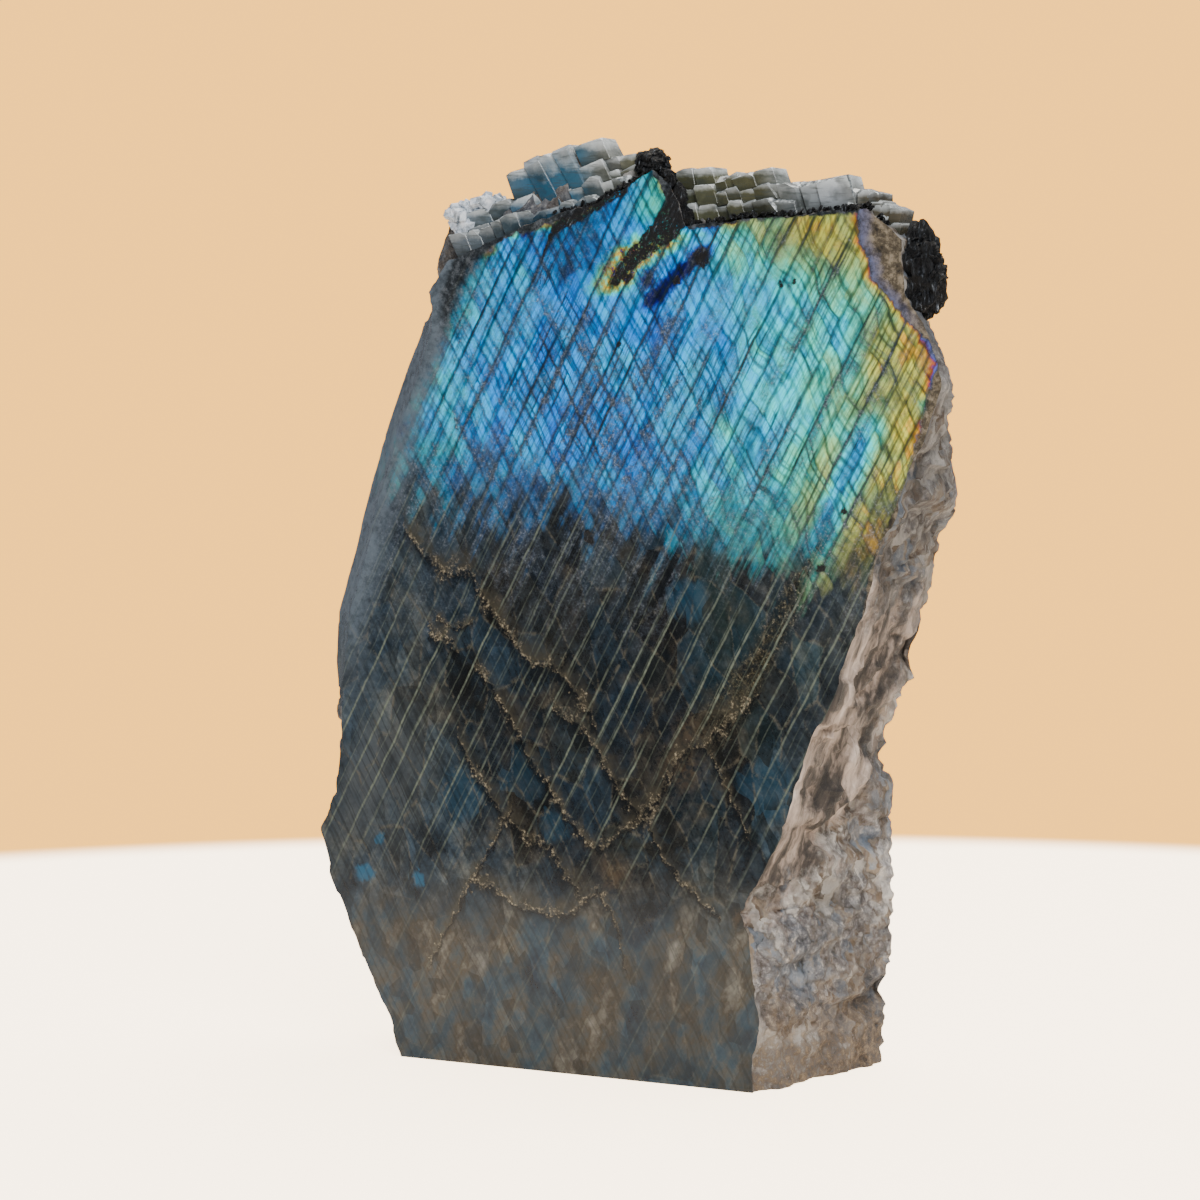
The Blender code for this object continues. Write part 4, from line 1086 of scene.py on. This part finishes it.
def broken_material():
    """Broken labradorite: grey-tan crumbs and cleavage, with a striped slab at the lower right."""
    material, tree, node, point = new_material("broken_labradorite")
    shake = node("TexNoise", point, None, 0.25, 4.0, out="Color")
    shake = node("VectorMath.SUBTRACT", shake, (0.5, 0.5, 0.5))
    ragged = node("VectorMath.MULTIPLY_ADD", shake, (5.0, 5.0, 5.0), point)
    spot = node("SeparateXYZ", ragged)
    x, y, z = spot, spot.node.outputs["Y"], spot.node.outputs["Z"]

    # Grains of several kinds, from blue-grey feldspar to cream and tan crumbs and dark mica.
    falling = node("VectorMath.DOT_PRODUCT", ragged, (0.5, 0, -0.87), out="Value")
    rising = node("VectorMath.DOT_PRODUCT", ragged, (0.87, 0, 0.5), out="Value")
    facet_place = node("CombineXYZ", node("Math.MULTIPLY", falling, 0.5), y, rising)
    grains = node("TexVoronoi", facet_place, None, 0.14, 2.0, 0.6, out="Color")
    grain = node("SeparateXYZ", grains)
    grain_gap = node("TexVoronoi", facet_place, None, 0.14, 0.0, feature="DISTANCE_TO_EDGE")
    kind = node("TexNoise", point, None, 0.05, 4.0, 0.6)
    share = node("Math.MULTIPLY_ADD", node("Math.SUBTRACT", grain, 0.5), 0.34, kind)
    body = node("ValToRGB", share, stops=((0.28, "#16191B"), (0.36, "#37414A"), (0.44, "#5E6C7C"),
                                          (0.51, "#838990"), (0.57, "#8E8170"), (0.64, "#5C4A38"),
                                          (0.74, "#B4B0AA")))
    crumbs = node("TexNoise", point, None, 0.6, 7.0, 0.75)
    crust = node("ValToRGB", crumbs, stops=((0.36, "#191919"), (0.46, "#54545A"), (0.56, "#868689"),
                                            (0.68, "#DCD6CC")))
    crusted = node("TexNoise", ragged, None, 0.12, 5.0, 0.7)
    colour = node("MixRGB", node("MapRange", crusted, 0.44, 0.58, 0.05, 0.75), body, crust)
    light = node("MapRange", grain.node.outputs["Y"], 0.0, 1.0, 0.45, 1.25)
    light = faded(tree, light, (z, 92.0, 100.0, 1.0, 0.62), (kind, 0.40, 0.58, 0.75, 1.2))
    colour = node("VectorMath.SCALE", colour, None, None, light)
    gaps = node("Math.MULTIPLY", node("MapRange", grain_gap, 0.06, 0.0, 0.0, 0.7),
                node("MapRange", crumbs, 0.42, 0.56, 0.2, 1.0))
    colour = node("MixRGB", gaps, colour, "#2A2622")
    toe = node("Math.MULTIPLY", node("MapRange", z, 22.0, 7.0, 0.0, 0.95),
               node("MapRange", crumbs, 0.40, 0.54, 0.55, 1.0))
    toe_hue = node("ValToRGB", crumbs, stops=((0.38, "#231C15"), (0.50, "#544433"), (0.62, "#8A7860")))
    colour = node("MixRGB", toe, colour, toe_hue)

    # The slab: tan-pink and dark grey stripes that run up along the face's edge.
    turn = radians(SLAB_ANGLE)
    up_edge = node("VectorMath.DOT_PRODUCT", point, (cos(turn), 0, sin(turn)), out="Value")
    off_edge = node("VectorMath.DOT_PRODUCT", point, (sin(turn), 0, -cos(turn)), out="Value")
    deep = node("SeparateXYZ", point, out="Y")
    slab_place = node("CombineXYZ", node("Math.MULTIPLY", off_edge, 0.24), node("Math.MULTIPLY", deep, 0.13),
                      node("Math.MULTIPLY", up_edge, 0.035))
    stripe = node("TexNoise", slab_place, None, 1.0, 5.0, 0.65)
    stripes = node("ValToRGB", stripe, stops=((0.36, "#242120"), (0.44, "#4E4640"), (0.51, "#94857A"),
                                              (0.60, "#C8B6AA"), (0.72, "#EEE3DA")))
    level = node("Math.MULTIPLY_ADD", node("Math.SUBTRACT", crusted, 0.5), 40.0, z)
    low = node("MapRange", node("Math.MULTIPLY_ADD", deep, -0.55, level), 42.0, 49.0, 0.0, 1.0)
    high = node("MapRange", level, 102.0, 92.0, 0.0, 1.0)
    right = node("MapRange", x, 15.0, 22.0, 0.0, 1.0)
    slab = node("Math.MULTIPLY", node("Math.MULTIPLY", low, high), right)
    slab = faded(tree, slab, (y, 18.0, 8.0, 0.0, 1.0))
    colour = node("MixRGB", slab, colour, stripes)

    height = node("Math.ADD", crumbs, node("Math.MULTIPLY", stripe, slab))
    height = node("Math.MULTIPLY_ADD", grain, 0.5, height)
    bump = node("Bump", 0.8, 0.0014, named={"Height": height})
    rough = node("MapRange", grain, 0.0, 1.0, 0.35, 0.75)
    shader = node("BsdfPrincipled", named={"Base Color": colour, "Roughness": rough, "IOR": 1.56,
                                           "Normal": bump})
    return add_surface(material, shader)


class LABRADORITE_OT_stone(bpy.types.Operator):
    """Shape the stone itself, with its sawn face and base"""
    bl_idname = "labradorite.stone"
    bl_label = "Stone"

    def execute(self, context):
        bm = bmesh.new()
        shape_stone(bm, context.scene.labradorite_sizes)
        for face in bm.faces:
            face.material_index = 1 if is_polished(face) else 0
        colours = context.scene.labradorite_colours
        make_piece(bm, "labradorite_stone", [broken_material(), polished_material(colours)])
        return {"FINISHED"}


class LABRADORITE_OT_crest(bpy.types.Operator):
    """Cleave the slabs along the crest"""
    bl_idname = "labradorite.crest"
    bl_label = "Crest"

    def execute(self, context):
        bm = bmesh.new()
        shape_crest(bm, context.scene.labradorite_sizes)
        make_piece(bm, "cleaved_crest", [crest_material(), edge_material()], crease=20.0)
        return {"FINISHED"}


class LABRADORITE_OT_lumps(bpy.types.Operator):
    """Grow the lumps of black mica and of sugary feldspar"""
    bl_idname = "labradorite.lumps"
    bl_label = "Mica and sugary lumps"

    def execute(self, context):
        chance = random.Random(11)
        bm = bmesh.new()
        for middle, radii, plates in MICA_LUMPS:
            shape_mica(bm, middle, radii, plates, chance)
        shape_seam(bm, chance)
        make_piece(bm, "mica_lumps", [mica_material()], crease=15.0)
        bm = bmesh.new()
        for middle, radii, grains in SUGAR_LUMPS:
            shape_sugar(bm, middle, radii, grains, chance)
        make_piece(bm, "sugary_crust", [sugar_material()], crease=15.0)
        return {"FINISHED"}


class LABRADORITE_OT_stage(bpy.types.Operator):
    """Set the pale floor, the soft lights and the camera"""
    bl_idname = "labradorite.stage"
    bl_label = "Stage"

    def execute(self, context):
        make_floor(context.scene)
        make_lights(context.scene)
        make_camera(context.scene)
        return {"FINISHED"}


# Camera, worked out from the photograph: place in millimetres, turn and tilt in degrees.
CAMERA_PLACE = (396.0, -702.5, 140.0)
CAMERA_TURN = 30.78
CAMERA_TILT = 3.22
LENS = 120.0
SENSOR = 36.0

# The pale tabletop ends softly this far from the stone, over twice the second distance, and the polished
# face mirrors the part of it that lies within the third distance in front of it, in millimetres.
TABLE = 400
TABLE_FADE = 20
MIRRORED_TABLE = 240


def floor_material(cream):
    """A cream painted tabletop that fades out at its far edge."""
    material, _, node, point = new_material("cream_painted_tabletop")
    reach = node("VectorMath.LENGTH", point, out="Value")
    away = node("MapRange", reach, TABLE - TABLE_FADE, TABLE + TABLE_FADE, 0.0, 1.0,
                interpolation_type="SMOOTHSTEP")
    shine = node("MapRange", node("LightPath", out="Is Camera Ray"), 0.0, 1.0, 0.6, 5.0)
    paint = node("BsdfPrincipled", named={"Base Color": cream, "Roughness": 0.7,
                                          "Emission Color": linear("#FFE6C4"), "Emission Strength": shine})
    shader = node("MixShader", away, paint, node("BsdfTransparent"))
    return add_surface(material, shader)


def make_floor(scene):
    """The floor in two halves, of which the polished face mirrors only the nearer part."""
    material = floor_material(scene.labradorite_colours.tabletop)
    radius = scene.labradorite_sizes.floor
    edge = (FACE_Y - MIRRORED_TABLE) * MM
    for name, keep, mirrored in (("floor_behind", 1, True), ("floor_in_front", -1, False)):
        bm = bmesh.new()
        bmesh.ops.create_circle(bm, cap_ends=True, segments=96, radius=radius)
        bmesh.ops.bisect_plane(bm, geom=bm.verts[:] + bm.edges[:] + bm.faces[:],
                               plane_co=(0, edge, 0), plane_no=(0, keep, 0), clear_inner=True)
        mesh = bpy.data.meshes.new(name)
        bm.to_mesh(mesh)
        bm.free()
        mesh.materials.append(material)
        floor = bpy.data.objects.new(name, mesh)
        floor.visible_glossy = mirrored
        scene.collection.objects.link(floor)


def make_light(scene, name, place, size, power, colour, mirrored=True):
    """A soft square light at a place in metres, aimed at the middle of the stone."""
    data = bpy.data.lights.new(name, "AREA")
    data.size = size
    data.energy = power
    data.color = linear(colour)[:3]
    light = bpy.data.objects.new(name, data)
    light.location = place
    light.rotation_euler = (Vector((0, 0, 0.09)) - light.location).to_track_quat("-Z", "Y").to_euler()
    light.visible_glossy = mirrored
    scene.collection.objects.link(light)


def make_lights(scene):
    """A broad light from above and behind, a key at the right front and a cool fill at the left."""
    make_light(scene, "light_above", (0.1, 0.45, 1.1), 1.0, 18, "#FFF6EA")
    make_light(scene, "light_right", (0.75, -0.85, 0.85), 0.8, 22, "#FFFFFF")
    make_light(scene, "light_left", (-1.0, 0.15, 0.55), 0.7, 7, "#E4ECFF", mirrored=False)
    world = bpy.data.worlds.new("studio")
    scene.world = world
    world.use_nodes = True
    tree = world.node_tree
    tree.nodes.clear()
    seen = add(tree, "LightPath", out="Is Camera Ray")
    colour = add(tree, "MixRGB", seen, "#8A8C90", scene.labradorite_colours.backdrop)
    strength = add(tree, "MapRange", seen, 0.0, 1.0, 0.7, 2.8)
    shader = add(tree, "Background", colour, strength)
    output = tree.nodes.new("ShaderNodeOutputWorld")
    tree.links.new(shader, output.inputs["Surface"])


def make_camera(scene):
    data = bpy.data.cameras.new("camera")
    data.lens = LENS
    data.sensor_width = SENSOR
    data.clip_start = 0.01
    camera = bpy.data.objects.new("camera", data)
    camera.location = Vector(CAMERA_PLACE) * MM
    camera.rotation_euler = (radians(90 - CAMERA_TILT), 0, radians(CAMERA_TURN))
    scene.collection.objects.link(camera)
    scene.camera = camera


class LABRADORITE_PT_panel(bpy.types.Panel):
    """Sizes and colours of the stone, and a button for each group of pieces"""
    bl_label = "Labradorite chunk"
    bl_idname = "LABRADORITE_PT_panel"
    bl_space_type = "VIEW_3D"
    bl_region_type = "UI"
    bl_category = "Labradorite"

    def draw(self, context):
        for name in StoneSizes.__annotations__:
            self.layout.prop(context.scene.labradorite_sizes, name)
        for name in StoneColours.__annotations__:
            self.layout.prop(context.scene.labradorite_colours, name)
        for operator in OPERATORS:
            self.layout.operator(operator.bl_idname)


OPERATORS = (LABRADORITE_OT_stone, LABRADORITE_OT_crest, LABRADORITE_OT_lumps, LABRADORITE_OT_stage)
CLASSES = (StoneSizes, StoneColours, *OPERATORS, LABRADORITE_PT_panel)


def register():
    for cls in CLASSES:
        bpy.utils.register_class(cls)
    bpy.types.Scene.labradorite_sizes = PointerProperty(type=StoneSizes)
    bpy.types.Scene.labradorite_colours = PointerProperty(type=StoneColours)


def unregister():
    del bpy.types.Scene.labradorite_colours
    del bpy.types.Scene.labradorite_sizes
    for cls in reversed(CLASSES):
        bpy.utils.unregister_class(cls)


def main():
    register()
    bpy.ops.labradorite.stone()
    bpy.ops.labradorite.crest()
    bpy.ops.labradorite.lumps()
    bpy.ops.labradorite.stage()


if __name__ == "__main__":
    main()
